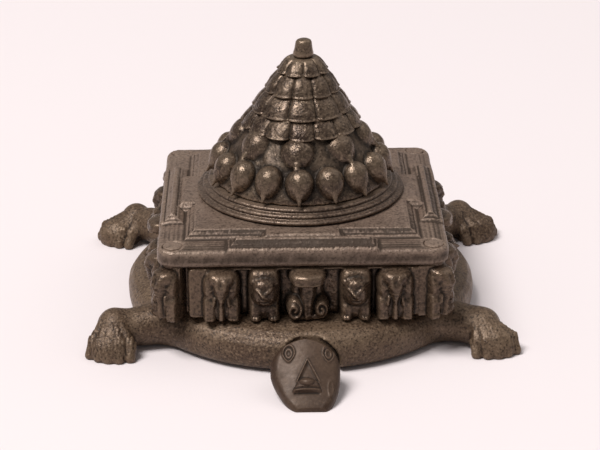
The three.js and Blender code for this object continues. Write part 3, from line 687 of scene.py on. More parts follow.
def lion_relief(across, up):
    """Lion seen from the front: square mane with a row of curls, crossed brows, muzzle, beard and two forelegs."""
    aside = np.abs(across)
    body = lump(across, up, (0.0, 8.6), (5.2, 9.2), 6.2, 6.0, 0.3)
    legs = lump(aside, up, (2.9, 2.0), (2.3, 5.0), 6.9, 4.0, 0.35)
    paws = lump(aside, up, (3.0, 0.8), (2.3, 1.6), 7.9, 3.0, 0.4)
    paws = paws + np.where(paws > 4.0, 0.25 * np.cos(aside * 5.2), 0.0)
    face = lump(across, up, (0.0, 10.4), (5.0, 6.2), 9.3, 2.6, 0.5)
    curls = 0.0
    for index in range(curl_count):
        place = -4.0 + 1.6 * index
        ring = np.hypot(across - place, up - 14.4 + 0.05 * place * place) / 0.7
        curls = curls + 0.85 * np.exp(-((ring - 0.75) / 0.42) ** 2)
    left_brow = bar(across, up, (-2.9, 12.4), (0.9, 9.7), 0.42, 0.85)
    brows = left_brow + bar(across, up, (2.6, 12.7), (-0.9, 10.0), 0.42, 0.7)
    nose = bar(across, up, (-1.1, 11.1), (0.5, 8.9), 0.5, 0.8)
    muzzle = lump(across, up, (0.0, 8.5), (2.6, 1.9), 9.2, 2.0, 0.5)
    beard_ring = np.hypot(across, (up - 10.6) * 0.85)
    beard = 0.25 * np.cos(beard_ring * 2 * np.pi / 1.05) * (up < 9.4) * (beard_ring < 5.0)
    mouth = bar(across, up, (-1.7, 7.5), (1.7, 7.5), 0.3, 0.8)
    whole = np.maximum.reduce([body, legs, paws, face, muzzle])
    return whole + curls * (whole > 2.0) + brows + nose - mouth + beard


def serpent_relief(across, up):
    """Serpent: a hood spread like a cap over its smooth neck, and the body in a coil on each side of its foot."""
    hood = lump(across, up, (0.0, 15.0), (6.2, 2.6), 9.6, 3.4, 0.4)
    fans = np.cos(9.0 * np.arctan2(across, up - 8.0))
    hood = hood + np.where(hood > 3.0, 0.3 * fans, 0.0) * np.clip((up - 13.0) / 2.0, 0.0, 1.0)
    brim = bar(across, up, (-4.6, 13.4), (4.6, 13.4), 0.6, 0.9)
    width = np.interp(up, [0.0, 3.0, 8.0, 12.5], [2.2, 2.5, 3.1, 3.5])
    section = np.clip(1.0 - np.abs(across / width) ** 2.4, 0.0, 1.0) ** 0.5
    neck = section * np.interp(up, [0.0, 6.0, 11.0], [7.2, 7.4, 6.0])
    neck = neck * (up > 0.3) * (up < 13.5)
    back = lump(across, up, (0.0, 8.6), (5.4, 6.0), 3.8, 3.0, 0.4)
    coils = 0.0
    for place, halves, turn in (((-4.3, 4.1), (2.9, 3.9), 1.0), ((4.5, 4.3), (2.5, 3.7), -1.0)):
        ring = np.hypot((across - place[0]) / halves[0], (up - place[1]) / halves[1])
        swirl = turn * np.arctan2(up - place[1], across - place[0]) / (2 * np.pi)
        tube = np.abs(((ring * 1.55 - swirl + 0.18) % 1.0) - 0.5) * 2.0
        coil = 8.2 * np.clip(1.15 - ring ** 6, 0.0, 1.0) ** 0.4 - 2.4 * np.clip(tube - 0.25, 0.0, 1.0) ** 1.5
        coils = np.maximum(coils, np.where(ring < 1.0, coil, 0.0))
    foot = lump(across, up, (0.0, 0.6), (5.8, 1.8), 6.4, 5.0, 0.3)
    return np.maximum.reduce([hood + brim * (hood > 2.0), neck, back, coils, foot])


reliefs = {"elephant": elephant_relief, "lion": lion_relief, "serpent": serpent_relief}


def soften(height, rounds):
    """Every value mixed with its four neighbours, so that cut steps get the soft foot of a wax model."""
    for _ in range(rounds):
        inner = height[1:-1, 1:-1]
        cross = height[2:, 1:-1] + height[:-2, 1:-1] + height[1:-1, 2:] + height[1:-1, :-2]
        height = height.copy()
        height[1:-1, 1:-1] = 0.5 * inner + 0.125 * cross
    return height


def frieze_skin(seed):
    """Front casting of the frieze.

    Its outer face is a grid: columns run along the side and then a quarter turn round the corner, rows go up,
    and each point stands out from the path by the greatest relief there. The corner block's plan is a
    superellipse that drops back at its far end, where the open joint is. The inner face is flat.
    """
    rows = np.concatenate([[0.0], np.linspace(0.25, frieze_height - 0.25, 68), [frieze_height]])
    side = np.arange(0.3 - frieze_half, frieze_half, column_step)
    turn = np.linspace(0.0, math.pi / 2, 84)
    straight_x, up = np.meshgrid(side, rows, indexing="ij")
    rail = np.clip((up - frieze_height + rail_height) / 0.5, 0.0, 1.0) * rail_out
    post = np.clip((side[0] + post_width - straight_x) / 0.5, 0.0, 1.0)
    out = np.maximum(rail, post * (block_out - wall_out))
    fill = np.clip((fill_edges[0] - straight_x) / 1.8, 0.0, 1.0) * fill_out[0]
    fill = fill + np.clip((straight_x - fill_edges[1]) / 1.6, 0.0, 1.0) * fill_out[1]
    out = np.maximum(out, np.maximum(fill, plain_out) - 0.5 * np.clip((2.0 - up) / 2.0, 0.0, 1.0))
    for kind, place in side_figures:
        out = np.maximum(out, reliefs[kind](straight_x - place, up))
    out = wall_out + out
    edge_round = 0.5 * (np.exp(-up / 0.4) + np.exp(-(frieze_height - up) / 0.3))
    from_end = straight_x - side[0]
    corner_x = np.maximum(end_round - from_end, 0.0)
    corner_up = np.maximum(end_round - np.minimum(up, frieze_height - up), 0.0)
    out = out - 4.0 * np.clip(np.hypot(corner_x, corner_up) - end_round + 0.25, 0.0, 0.7)
    bent, bent_up = np.meshgrid(turn, rows, indexing="ij")
    cosine, sine = np.cos(bent), np.sin(bent)
    block = block_out / (cosine ** block_square + sine ** block_square) ** (1 / block_square)
    corner = np.maximum(block - 1.2 * np.exp(-((bent - math.pi / 4) / 0.5) ** 2),
                        wall_out + 0.6 + elephant_relief((bent - math.pi / 4) * corner_radius, bent_up))
    gap = np.clip((bent - gap_start) / 0.07, 0.0, 1.0)
    corner = corner * (1.0 - gap) + gap * np.minimum(corner, wall_out - gap_depth)
    out = np.concatenate([soften(out - edge_round, 3), soften(corner - 0.5 * edge_round[:1], 3)])
    place_x = np.concatenate([straight_x, frieze_half + 0 * bent])
    ahead = np.concatenate([np.ones_like(straight_x), cosine])
    aside = np.concatenate([np.zeros_like(straight_x), sine])
    up = np.concatenate([up, bent_up])
    spots = np.stack([place_x, 0 * up, up], axis=-1)
    out = out + 0.16 * hand_waver(spots, 9.0, seed) + 0.07 * hand_waver(spots, 2.2, seed + 1)
    sand = soften(np.random.default_rng(seed + 2).normal(size=out.shape), 1)
    out = out + 0.05 * sand
    outer = np.stack([place_x + out * aside, -frieze_half - out * ahead, frieze_floor + up], axis=-1)
    inner = np.stack([place_x + 0.3 * aside, -frieze_half - 0.3 * ahead, frieze_floor + up], axis=-1)[:, [0, -1]]
    ring = np.concatenate([inner[:, :1], outer, inner[:, 1:]], axis=1)
    columns, around = ring.shape[:2]
    number = np.arange(columns * around).reshape(columns, around)
    after = np.roll(number, -1, axis=1)
    faces = np.stack([number[:-1], number[1:], after[1:], after[:-1]], axis=-1).reshape(-1, 4)
    half = np.arange(around // 2 - 1)
    cap = np.stack([half, half + 1, around - 2 - half, around - 1 - half], axis=-1)
    last = cap + number[-1, 0]
    return ring.reshape(-1, 3), np.concatenate([faces, cap, last[:, ::-1]])


frieze_bronze = bronze(
    "frieze_bronze", patina=(0.044, 0.026, 0.018), dark=(0.005, 0.003, 0.002), rubbed=(0.2, 0.135, 0.09),
    dust=0.3, rub=0.45, grain=0.9, metallic=0.4, crust=0.2, dull=-0.05,
)
for quarter, side_name in enumerate(("front", "right", "back", "left")):
    panel_points, panel_faces = frieze_skin(20 + 5 * quarter)
    cosine, sine = round(math.cos(quarter * math.pi / 2)), round(math.sin(quarter * math.pi / 2))
    turned = panel_points @ np.array([[cosine, sine, 0], [-sine, cosine, 0], [0, 0, 1]])
    bronze_piece("frieze_" + side_name, turned, panel_faces, "frieze_panel_" + side_name,
                 frieze_bronze, 10)


# Top plate
# A square slab with rounded corners, cast flat. The gated square stands on it in three low terraces with fine
# lines along their brinks, and the bands between are left granular; the inner field is scraped smooth.
plate_half = 48.0
plate_corner = 6.0
plate_floor = 33.2
plate_rim = 38.9
plate_margin = 39.4
plate_nose = 1.5
terrace_count = 3
terrace_step = 0.9
terrace_pitch = 1.3
wall_half = 38.6
neck_half = 14.8
arm_half = 24.6
arm_depth = 7.0
gate_reach = 47.0
rivet_spread = 42.8
rivet_radius = 3.15
arm_band = 39.2
line_start = 40.2
line_pitch = 1.5
nose_steps = 6
plate_dents = [
    # x, y, size, depth
    (-33.0, 16.5, 0.9, 0.35), (-31.6, 14.8, 0.6, 0.3), (-30.4, 16.2, 0.5, 0.25),
    (30.5, 12.0, 0.7, 0.25), (12.0, -33.5, 0.5, 0.2), (-5.0, -41.5, 0.9, 0.3),
]


def box_distance(across, up, half_across, half_up):
    """Signed distance in a plane to a rectangle about the origin."""
    aside, above = np.abs(across) - half_across, np.abs(up) - half_up
    outer = np.hypot(np.maximum(aside, 0.0), np.maximum(above, 0.0))
    return outer + np.minimum(np.maximum(aside, above), 0.0)


def gate_distance(across, up):
    """Signed distance to the gated square: the wall's square joined with a neck and an arm in each side."""
    nearest = box_distance(across, up, wall_half, wall_half)
    middle = gate_reach - arm_depth / 2
    for first, second in ((across, up), (up, across)):
        neck = box_distance(first, second, neck_half, gate_reach - arm_depth / 2)
        arm = box_distance(first, np.abs(second) - middle, arm_half, arm_depth / 2)
        nearest = np.minimum(nearest, np.minimum(neck, arm))
    return nearest


def plate_height(across, up):
    """Height of the plate's top: three soft steps inside the gated square, brink lines, granular bands, dents."""
    spots = np.stack([across, up, 0 * across], axis=-1)
    inside = -gate_distance(across, up) + 0.07 * hand_waver(spots, 14.0, 51) + 0.03 * hand_waver(spots, 3.0, 52)
    edge = np.maximum(np.abs(across), np.abs(up))
    height = plate_margin - 0.5 * np.clip((edge - 43.5) / 3.0, 0.0, 1.0)
    for index in range(terrace_count):
        depth = inside - terrace_pitch * index
        height = height + terrace_step * np.clip(0.5 + depth / 0.9, 0.0, 1.0)
        brink = 0.05 * np.exp(-((depth - 0.55) / 0.16) ** 2)
        ditch = 0.06 * np.exp(-((depth - 0.85) / 0.14) ** 2)
        height = height + brink - ditch
    dice = np.random.default_rng(53)
    sand = soften(dice.normal(size=across.shape), 1)
    band = np.clip((inside - 0.1) / 0.2, 0.0, 1.0) * np.clip((3.6 - inside) / 0.3, 0.0, 1.0)
    arms = np.clip((edge - arm_band) / 0.4, 0.0, 1.0) * (inside > 0)
    height = height + np.maximum(band, arms) * (0.045 * sand + 0.06 * hand_waver(spots, 1.7, 54))
    outside = np.clip(-inside / 0.3, 0.0, 1.0)
    lines = np.cos((edge - line_start) * 2 * np.pi / line_pitch) * np.clip((edge - 39.8) / 0.3, 0.0, 1.0)
    height = height + 0.05 * outside * lines
    height = height + 0.08 * hand_waver(spots, 21.0, 55) + 0.025 * hand_waver(spots, 5.0, 56) + 0.012 * sand
    for x, y, size, depth in plate_dents:
        height = height - depth * np.exp(-((across - x) ** 2 + (up - y) ** 2) / size ** 2)
    for x in (-rivet_spread, rivet_spread):
        for y in (-rivet_spread, rivet_spread):
            away = np.hypot(across - x, up - y)
            height = height - 2.4 * np.clip(0.5 + (rivet_radius + 0.13 - away) / 0.14, 0.0, 1.0)
    return height


def plate_lines():
    """Grid line places over half the plate: close pairs at every step of the walls and even places between."""
    half = plate_half - plate_nose
    steps = []
    for index in range(terrace_count):
        shift = terrace_pitch * index
        for wall in (wall_half - shift, neck_half - shift, arm_half - shift, gate_reach - shift,
                     gate_reach - arm_depth + shift):
            steps += [wall - 0.15, wall, wall + 0.15]
    even = np.linspace(0.0, half, 128)
    places = [value for value in even if min(abs(value - step) for step in steps) > 0.17]
    places = np.array(sorted(places + [step for step in steps if step < half - 0.1]))
    return np.concatenate([-places[:0:-1], places])


def plate_skin():
    """Plate: a square grid whose corner squares are drawn into quarter discs, then rings round the nose and under.

    In a corner square the way to its inner corner is shortened by the greater leg over the length.
    """
    lines = plate_lines()
    across, up = np.meshgrid(lines, lines, indexing="ij")
    inner = plate_half - plate_corner
    leg_x = np.maximum(np.abs(across) - inner, 0.0)
    leg_y = np.maximum(np.abs(up) - inner, 0.0)
    length = np.hypot(leg_x, leg_y)
    drawn = np.where(length > 0, np.maximum(leg_x, leg_y) / np.maximum(length, 1e-9), 1.0)
    across = np.sign(across) * (np.minimum(np.abs(across), inner) + leg_x * drawn)
    up = np.sign(up) * (np.minimum(np.abs(up), inner) + leg_y * drawn)
    height = plate_height(across, up)
    top_points = np.stack([across, up, height], axis=-1).reshape(-1, 3)
    count = len(lines)
    number = np.arange(count * count).reshape(count, count)
    cells = np.stack([number[:-1, :-1], number[1:, :-1], number[1:, 1:], number[:-1, 1:]], axis=-1)
    faces = [cells.reshape(-1, 4)]
    rim = np.concatenate([number[:-1, 0], number[-1, :-1], number[:0:-1, -1], number[0, :0:-1]])
    start = top_points[rim]
    corner = np.clip(start[:, :2], -inner, inner)
    outward = start[:, :2] - corner
    outward /= np.linalg.norm(outward, axis=1, keepdims=True)
    rings, points = [rim], [top_points]
    base = count * count
    angles = np.linspace(0, math.pi / 2, nose_steps + 1)[1:]
    profile = [(plate_nose * math.sin(angle), plate_nose * (math.cos(angle) - 1)) for angle in angles]
    drop = plate_rim - plate_floor
    profile += [(plate_nose, -drop * part) for part in (0.45, 0.6)]
    profile += [(out, -drop - down) for out, down in reversed(profile[:nose_steps])]
    profile += [(0.0, -drop)]
    for out, down in profile:
        brink = start[:, 2:] if down > -plate_nose - 0.1 else np.full((len(start), 1), plate_rim)
        ring = np.concatenate([start[:, :2] + outward * out, brink + down], axis=1)
        bend = 0.08 * hand_waver(ring, 12.0, 57) + 0.04 * hand_waver(ring, 2.5, 58)
        ring[:, :2] += outward * (bend - 0.12)[:, None] * min(1.0, out)
        ring[:, 2] = np.maximum(ring[:, 2], plate_floor)
        points.append(ring)
        rings.append(base + np.arange(len(rim)))
        base += len(rim)
    points.append(np.array([[0.0, 0.0, plate_floor]]))
    for above, below in zip(rings[:-1], rings[1:]):
        faces.append(np.stack([above, below, np.roll(below, -1), np.roll(above, -1)], axis=-1))
    last = rings[-1]
    middle = np.full(len(last) // 2, base)
    faces.append(np.stack([middle, np.roll(last, -2)[::2], np.roll(last, -1)[::2], last[::2]], axis=-1))
    return np.concatenate(points), np.concatenate(faces)


plate_bronze = bronze(
    "plate_bronze", patina=(0.19, 0.13, 0.1), dark=(0.028, 0.017, 0.011), rubbed=(0.29, 0.21, 0.158),
    dust=0.25, rub=0.1, grain=0.85, metallic=0.2, dull=0.08,
)
plate_points, plate_faces = plate_skin()
plate_inside = -gate_distance(plate_points[:, 0], plate_points[:, 1])
plate_edge = np.abs(plate_points[:, :2]).max(axis=1)
plate_bands = np.clip(plate_inside / 0.3, 0.0, 1.0) * np.clip((3.8 - plate_inside) / 0.4, 0.0, 1.0)
plate_bands = np.maximum(plate_bands, np.clip((plate_edge - arm_band) / 0.5, 0.0, 1.0) * (plate_inside > 0.0))
# Painted light and shade on the plate's colour: the granular bands and the outer margin are darker, the left side
# is lighter, and the front and the sides below the margin are darker.
plate_left_painted_light = np.clip((-plate_points[:, 0] - np.abs(plate_points[:, 1])) / 5.0, 0.0, 1.0)
plate_front_painted_shade = np.clip((-plate_points[:, 1] - 20.0) / 14.0, 0.0, 1.0)
plate_painted_light_and_shade = 0.11 * plate_bands + 0.09 * np.clip((plate_edge - 41.0) / 3.0, 0.0, 1.0)
plate_painted_light_and_shade = plate_painted_light_and_shade * (1.0 - 0.8 * plate_left_painted_light) + 0.1 * plate_front_painted_shade
plate_painted_light_and_shade = plate_painted_light_and_shade + 0.04 * np.clip((plate_margin - 0.2 - plate_points[:, 2]) / 0.8, 0.0, 1.0)
bronze_piece("plate_casting", plate_points, plate_faces, "top_plate", plate_bronze, 10,
             plate_painted_light_and_shade)


# Corner rivets
# Four round bars driven through the plate into the frieze's corner blocks and filed flush. Each sits a little
# off the middle of its hole, so that the seam opens into a dark crescent on one side.
def capped_rings(rings, poles):
    """Closed skin from rings of points, lowest first, with four-sided faces between them and round both poles."""
    count, segments = rings.shape[:2]
    number = np.arange(count * segments).reshape(count, segments)
    after = np.roll(number, -1, axis=1)
    sides = np.stack([number[:-1], after[:-1], after[1:], number[1:]], axis=-1).reshape(-1, 4)
    pair = np.arange(0, segments, 2)
    last = (pair + 2) % segments
    low, high = np.full(len(pair), number.size), np.full(len(pair), number.size + 1)
    lower = np.stack([low, number[0][last], number[0][pair + 1], number[0][pair]], axis=-1)
    upper = np.stack([high, number[-1][pair], number[-1][pair + 1], number[-1][last]], axis=-1)
    return np.concatenate([rings.reshape(-1, 3), poles]), np.concatenate([sides, lower, upper])


def revolved(profile, segments, centre_x=0.0, centre_y=0.0):
    """Closed skin of revolution: the profile from the lower pole to the upper one, turned round a vertical."""
    profile = np.array(profile, float)
    turns = np.linspace(0.0, 2 * np.pi, segments, endpoint=False)
    radius, height = profile[1:-1, 0], profile[1:-1, 1]
    rings = np.stack([
        centre_x + radius[:, None] * np.cos(turns),
        centre_y + radius[:, None] * np.sin(turns),
        np.repeat(height[:, None], segments, axis=1),
    ], axis=-1)
    return capped_rings(rings, [[centre_x, centre_y, profile[0, 1]], [centre_x, centre_y, profile[-1, 1]]])


rivet_profile = [(0.0, 30.4), (3.0, 30.4), (3.15, 31.0), (3.15, 36.0), (3.15, 38.8), (3.08, 39.15), (2.9, 39.3),
                 (2.2, 39.36), (1.2, 39.38), (0.0, 39.38)]
for side_name, x, y, off in (("front", 1, -1, (0.12, 0.1)), ("right", 1, 1, (-0.12, 0.12)),
                             ("back", -1, 1, (0.1, -0.12)), ("left", -1, -1, (0.14, 0.1))):
    rivet_points, rivet_faces = revolved(rivet_profile, 64, rivet_spread * x + off[0], rivet_spread * y + off[1])
    rivet_points[:, 2] += 0.05 * hand_waver(rivet_points, 3.0, 61)
    bronze_piece("rivet_" + side_name, rivet_points, rivet_faces, "corner_rivet_" + side_name,
                 plate_bronze, 6)


# Ring moulding
# A turned ring of three beads stepping in as they rise, laid loose on the field round the mount's foot.
ring_floor = 42.4
ring_height = 4.6
ring_bore = 27.3
ring_radius = 35.6
ring_top_radius = 31.8
bead_count = 3
bead_radius = 0.95
groove_depth = 1.25


def ring_skin():
    """Ring: bead arcs joined by narrow grooves on the outside, a flat underside and a plain bore."""
    outline = [(ring_bore, ring_floor)]
    bead = ring_height / bead_count
    for index in range(bead_count):
        radius = ring_radius + (ring_top_radius - ring_radius) * index / (bead_count - 1)
        for angle in np.linspace(-math.pi / 2, math.pi / 2, 11):
            out = radius - bead_radius + bead_radius * math.cos(angle)
            outline.append((out, ring_floor + bead * (index + 0.5 + 0.44 * math.sin(angle))))
        if index < bead_count - 1:
            outline.append((radius - groove_depth, ring_floor + bead * (index + 1)))
    outline += [(ring_top_radius - 2.6, ring_floor + ring_height), (ring_bore, ring_floor + ring_height)]
    outline = np.array(outline)
    turns = np.linspace(0.0, 2 * np.pi, 360, endpoint=False)
    points = np.stack([
        outline[:, 0, None] * np.cos(turns), outline[:, 0, None] * np.sin(turns),
        np.repeat(outline[:, 1, None], len(turns), axis=1),
    ], axis=-1)
    bend = 0.06 * hand_waver(points, 16.0, 71) + 0.03 * hand_waver(points, 3.0, 72)
    points[..., :2] *= (1 + np.minimum(bend - 0.05, 0.0) / 32.0)[..., None]
    number = np.arange(points.shape[0] * points.shape[1]).reshape(points.shape[:2])
    after, over = np.roll(number, -1, axis=1), np.roll(number, -1, axis=0)
    faces = np.stack([number, after, np.roll(over, -1, axis=1), over], axis=-1).reshape(-1, 4)
    return points.reshape(-1, 3), faces


mount_bronze = bronze(
    "mount_bronze", patina=(0.048, 0.029, 0.021), dark=(0.006, 0.004, 0.003), rubbed=(0.24, 0.172, 0.118),
    dust=0.3, rub=0.5, grain=1.0, metallic=0.45, crust=0.35, dull=-0.07,
)
ring_bronze = bronze(
    "ring_bronze", patina=(0.095, 0.063, 0.047), dark=(0.012, 0.008, 0.006), rubbed=(0.28, 0.2, 0.145),
    dust=0.3, rub=0.5, grain=1.0, metallic=0.4,
)
ring_points, ring_faces = ring_skin()
bronze_piece("ring_casting", ring_points, ring_faces, "ring_moulding", ring_bronze, 8)


# Meru mount
# One solid casting: a skirt with two rows of clove-like petals whose points turn out, and four rows of
# shallow scallops above, each undercut where it stands over the row below. It leans a little to the right.
tiers = [
    # lobes, radius, height, point, groove, turn
    (14, 20.7, 5.5, 0.25, 2.0, 0.0),
    (10, 17.1, 6.5, 0.25, 1.9, 0.0),
    (10, 12.9, 6.5, 0.2, 1.7, 0.0),
    (8, 9.0, 4.9, 0.2, 1.5, 0.5),
]
petal_rows = [
    # petals, egg middle, egg halves, lower egg middle, lower egg halves, beak root, beak tip
    (16, (26.2, 0.0, 53.7), (4.9, 4.8, 5.3), (27.7, 0.0, 51.5), (3.5, 3.2, 3.2),
     (30.0, 0.0, 51.6), (32.1, 0.0, 48.3)),
    (8, (18.6, 0.0, 61.9), (5.7, 6.1, 5.6), (21.0, 0.0, 60.0), (3.9, 4.3, 3.9),
     (24.6, 0.0, 60.0), (27.6, 0.0, 57.6)),
]
petal_turns = (0.03, 0.08)
skirt_outline = [(0.0, 42.5), (27.0, 42.5), (27.0, 47.3), (29.6, 47.4), (29.2, 49.0), (27.6, 52.0), (25.6, 55.6),
                 (24.0, 58.6), (21.6, 62.0), (19.0, 65.4), (17.0, 68.6), (0.0, 69.2)]
scallop_foot = 66.4
petal_foot = 48.0
petal_dice = (0.25, 0.25, 0.3)
beak_radii = (1.25, 0.4)
summit_radius = 4.6
lean = 1.1
mount_step = 0.5


def tier_skin(lobes, radius, height, point, groove, turn, foot, next_radius, cover, seed):
    """One row of lobes: radius as a function of the angle and the height.

    Going up, the radius follows part of a superellipse from the row's own radius to the next row's. Across a
    lobe it falls to the groove. The low rounded edge of a scallop curls in under a raised lip, and two rings
    below it run back into the mount.
    """
    steps = 2 * round(math.pi * radius / lobes / 0.3)
    around = lobes * steps
    rows = 30
    angle = (np.arange(around) / around) * 2 * np.pi - np.pi / 2
    phase = (np.arange(around) / steps - turn) % 1.0
    side = np.abs(2.0 * ((phase + 0.5) % 1.0) - 1.0)
    edge = foot + point * side ** 1.8
    part = np.linspace(0.0, 1.0, rows)[:, None] ** 1.15
    level = edge + (foot + height + cover - edge) * part
    up = np.clip((level - foot) / height, 0.0, 1.0)
    above = level - edge
    power = 1.35
    shrink = radius - next_radius + 0.75
    body = radius - shrink * (1.0 - (1.0 - up ** power) ** (1 / power))
    swell = 1.0 - (1.0 - side ** 3.3) ** 0.5
    curl = np.clip(1.0 - above / 0.7, 0.0, 1.0) ** 2
    body = body - 0.35 * curl + 0.42 * np.exp(-((above - 0.5) / 0.3) ** 2)
    reach = body - groove * swell * (1.0 - 0.35 * up)
    turns = np.repeat(angle[None, :], rows, axis=0)
    skin = np.stack([reach * np.cos(turns), reach * np.sin(turns), level], axis=-1)
    tuck = reach[:1] - 0.5
    under = np.stack([tuck * np.cos(turns[:1]), tuck * np.sin(turns[:1]), level[:1] + 0.3], axis=-1)
    deep = reach[:1] - 2.6 - 0.3 * groove
    inner = np.stack([deep * np.cos(turns[:1]), deep * np.sin(turns[:1]), level[:1] + 1.4], axis=-1)
    poles = [[0.0, 0.0, foot + 1.4 + point], [0.0, 0.0, foot + height + cover]]
    points, faces = capped_rings(np.concatenate([inner, under, skin]), poles)
    away = np.hypot(points[:, 0], points[:, 1])
    bend = 0.2 * hand_waver(points, 9.0, seed) + 0.08 * hand_waver(points, 2.6, seed + 1) - 0.12
    points[:, :2] *= (1.0 + bend / np.maximum(away, 3.0))[:, None]
    return points, faces


def petals_distance(points):
    """Distance to the skirt with its two rows of petals.

    The angle is folded into one sector of a row, so that one petal there stands for all. A petal is an egg, a
    smaller egg below it and a beak bar that runs down and turns out. Dice move each petal a little.
    """
    x, y, z = points[..., 0], points[..., 1], points[..., 2]
    radius = np.hypot(x, y)
    whole = outline_distance(radius, z, skirt_outline) - 0.12 * hand_waver(points, 7.0, 96)
    for row, (lobes, big, big_halves, low, low_halves, beak_root, beak_tip) in enumerate(petal_rows):
        turn = (np.arctan2(y, x) + petal_turns[row]) / (2 * np.pi) * lobes + lobes / 4
        lobe = np.round(turn)
        angle = (turn - lobe) * 2 * np.pi / lobes
        dice = np.random.default_rng(97 + row).uniform(-1.0, 1.0, (lobes, 3))[lobe.astype(int) % lobes]
        local = np.stack([
            radius * np.cos(angle) - petal_dice[0] * dice[..., 0],
            radius * np.sin(angle) - petal_dice[1] * dice[..., 1],
            z - petal_dice[2] * dice[..., 2],
        ], axis=-1)
        petal = smooth_union(egg(local, big, big_halves), egg(local, low, low_halves), 1.6)
        petal = smooth_union(petal, rod(local, beak_root, beak_tip, *beak_radii), 1.1)
        whole = smooth_union(whole, petal, 0.5)
    return whole - 0.05 * hand_waver(points, 2.4, 99)


def mount_parts():
    """Skirt with the petals, and all rows of scallops above to the summit."""
    parts = [skin_of(petals_distance, (-34.2, -34.2, 42.0), (34.2, 34.2, 69.6), mount_step)]
    foot = scallop_foot
    for index, (lobes, radius, height, point, groove, turn) in enumerate(tiers):
        last = index == len(tiers) - 1
        next_radius = summit_radius + 0.9 if last else tiers[index + 1][1]
        cover = 0.0 if last else tiers[index + 1][3] + 0.6
        parts.append(tier_skin(lobes, radius, height, point, groove, turn, foot, next_radius, cover,
                               86 + 3 * index))
        foot += height
    return parts


mount_points, mount_faces = join_parts(mount_parts())
rise = np.clip((mount_points[:, 2] - petal_foot) / 42.0, 0.0, 1.0)
mount_points[:, 0] += lean * rise ** 1.5
bare = np.hypot(mount_points[:, 0] - lean * rise ** 1.5, mount_points[:, 1])
skirt_radii, skirt_heights = zip(*skirt_outline[2:-1])
bare = bare - np.interp(mount_points[:, 2], skirt_heights, skirt_radii)
# Painted shade: the skirt between and under the petals, below the scallops, is darkened.
mount_painted_shade = 0.11 * np.clip(1.3 - bare / 1.2, 0.0, 1.0) * (mount_points[:, 2] < scallop_foot - 0.4)
bronze_piece("mount_casting", mount_points, mount_faces, "meru_mount", mount_bronze, 20,
             mount_painted_shade)


# Bindu rod
# The bindu is the forged head of the rod that clamps the stack: a short, slightly crooked tapering knob with a
# hammered round top, standing on the mount's summit.
bindu_profile = [(0.0, 4.2), (2.5, 4.2), (2.5, 89.6), (3.3, 90.1), (3.5, 90.6), (3.45, 91.3), (3.1, 92.6),
                 (2.85, 94.0), (2.65, 95.0), (2.3, 95.6), (1.6, 95.92), (0.8, 96.0), (0.0, 96.02)]
bindu_points, bindu_faces = revolved(bindu_profile, 96)
above = np.clip((bindu_points[:, 2] - 89.8) / 6.3, 0.0, 1.0)
bindu_points[:, 0] += (lean + 0.25 * above) * (bindu_points[:, 2] > 89.0)
bindu_points += (0.1 * above * hand_waver(bindu_points, 4.0, 91))[:, None] * np.array([1.0, 1.0, -0.3])
bronze_piece("bindu_rod_forging", bindu_points, bindu_faces, "bindu_rod", mount_bronze, 6)


# Washer and nut
# Brass washer and nut under the body that draw the stack tight; plain turned stock, seen only from below.
fastener_brass = bronze(
    "fastener_brass", patina=(0.42, 0.3, 0.12), dark=(0.1, 0.07, 0.03), rubbed=(0.62, 0.5, 0.26),
    dust=0.2, rub=0.3, grain=0.3, metallic=0.9,
)
for node_name in ("rod_washer", "rod_nut"):
    fastener = bpy.data.objects[node_name]
    fastener.data.materials.clear()
    fastener.data.materials.append(fastener_brass)


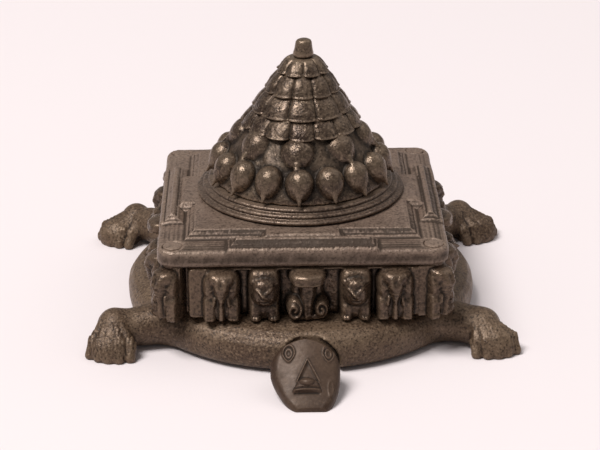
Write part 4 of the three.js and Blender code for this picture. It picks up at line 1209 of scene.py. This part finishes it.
# Studio
# A pale seamless floor and a soft white room, with one large lamp high on the left in front, as for a
# catalogue picture: soft shadows to the right and small lights on the upper left of every form.
floor_mesh = bpy.data.meshes.new("studio_floor")
floor_half = 6.0
floor_corners = [(x * floor_half, y * floor_half, 0.0) for x, y in ((-1, -1), (1, -1), (1, 1), (-1, 1))]
floor_mesh.from_pydata(floor_corners, [], [(0, 1, 2, 3)])
floor = bpy.data.objects.new("studio_floor", floor_mesh)
bpy.context.scene.collection.objects.link(floor)
paper = bpy.data.materials.new("studio_paper")
paper.use_nodes = True
paper_shader = paper.node_tree.nodes["Principled BSDF"]
paper_path = paper.node_tree.nodes.new("ShaderNodeLightPath")
seen = paper_path.outputs["Is Camera Ray"]
for kind in ("Is Glossy Ray", "Is Transmission Ray"):
    either = paper.node_tree.nodes.new("ShaderNodeMath")
    either.operation = "MAXIMUM"
    paper.node_tree.links.new(seen, either.inputs[0])
    paper.node_tree.links.new(paper_path.outputs[kind], either.inputs[1])
    seen = either.outputs[0]
paper_tone = paper.node_tree.nodes.new("ShaderNodeMix")
paper_tone.data_type = "RGBA"
paper_tone.inputs[6].default_value = (0.3, 0.275, 0.275, 1.0)
paper_tone.inputs[7].default_value = (0.86, 0.785, 0.795, 1.0)
paper.node_tree.links.new(seen, paper_tone.inputs[0])
paper.node_tree.links.new(paper_tone.outputs[2], paper_shader.inputs["Base Color"])
paper_shader.inputs["Roughness"].default_value = 0.9
paper_shader.inputs["Specular IOR Level"].default_value = 0.1
floor_mesh.materials.append(paper)

world = bpy.data.worlds.new("studio_room")
world.use_nodes = True
world.node_tree.nodes["Background"].inputs["Color"].default_value = (1.0, 0.975, 0.965, 1.0)
world.node_tree.nodes["Background"].inputs["Strength"].default_value = 0.27
bpy.context.scene.world = world


def soft_lamp(name, place, target, size, power, colour):
    """Square area lamp at a place in metres, turned to face a target."""
    lamp = bpy.data.lights.new(name, "AREA")
    lamp.shape = "SQUARE"
    lamp.size = size
    lamp.energy = power
    lamp.color = colour
    holder = bpy.data.objects.new(name, lamp)
    facing = np.array(place) - np.array(target)
    facing = facing / np.linalg.norm(facing)
    across = np.cross([0.0, 0.0, 1.0], facing)
    across /= np.linalg.norm(across)
    above = np.cross(facing, across)
    holder.matrix_world = Matrix([
        [across[0], above[0], facing[0], place[0]],
        [across[1], above[1], facing[1], place[1]],
        [across[2], above[2], facing[2], place[2]],
        [0.0, 0.0, 0.0, 1.0],
    ])
    bpy.context.scene.collection.objects.link(holder)


for lamp_name, place, size, power in (
    ("key_lamp", (-1.9, -1.3, 4.3), 2.1, 235.0), ("fill_lamp", (2.4, 0.8, 3.2), 2.8, 20.0),
):
    soft_lamp(lamp_name, place, (0.0, 0.0, 0.03), size, power, (1.0, 0.985, 0.97))
bpy.context.scene.view_settings.view_transform = "Standard"
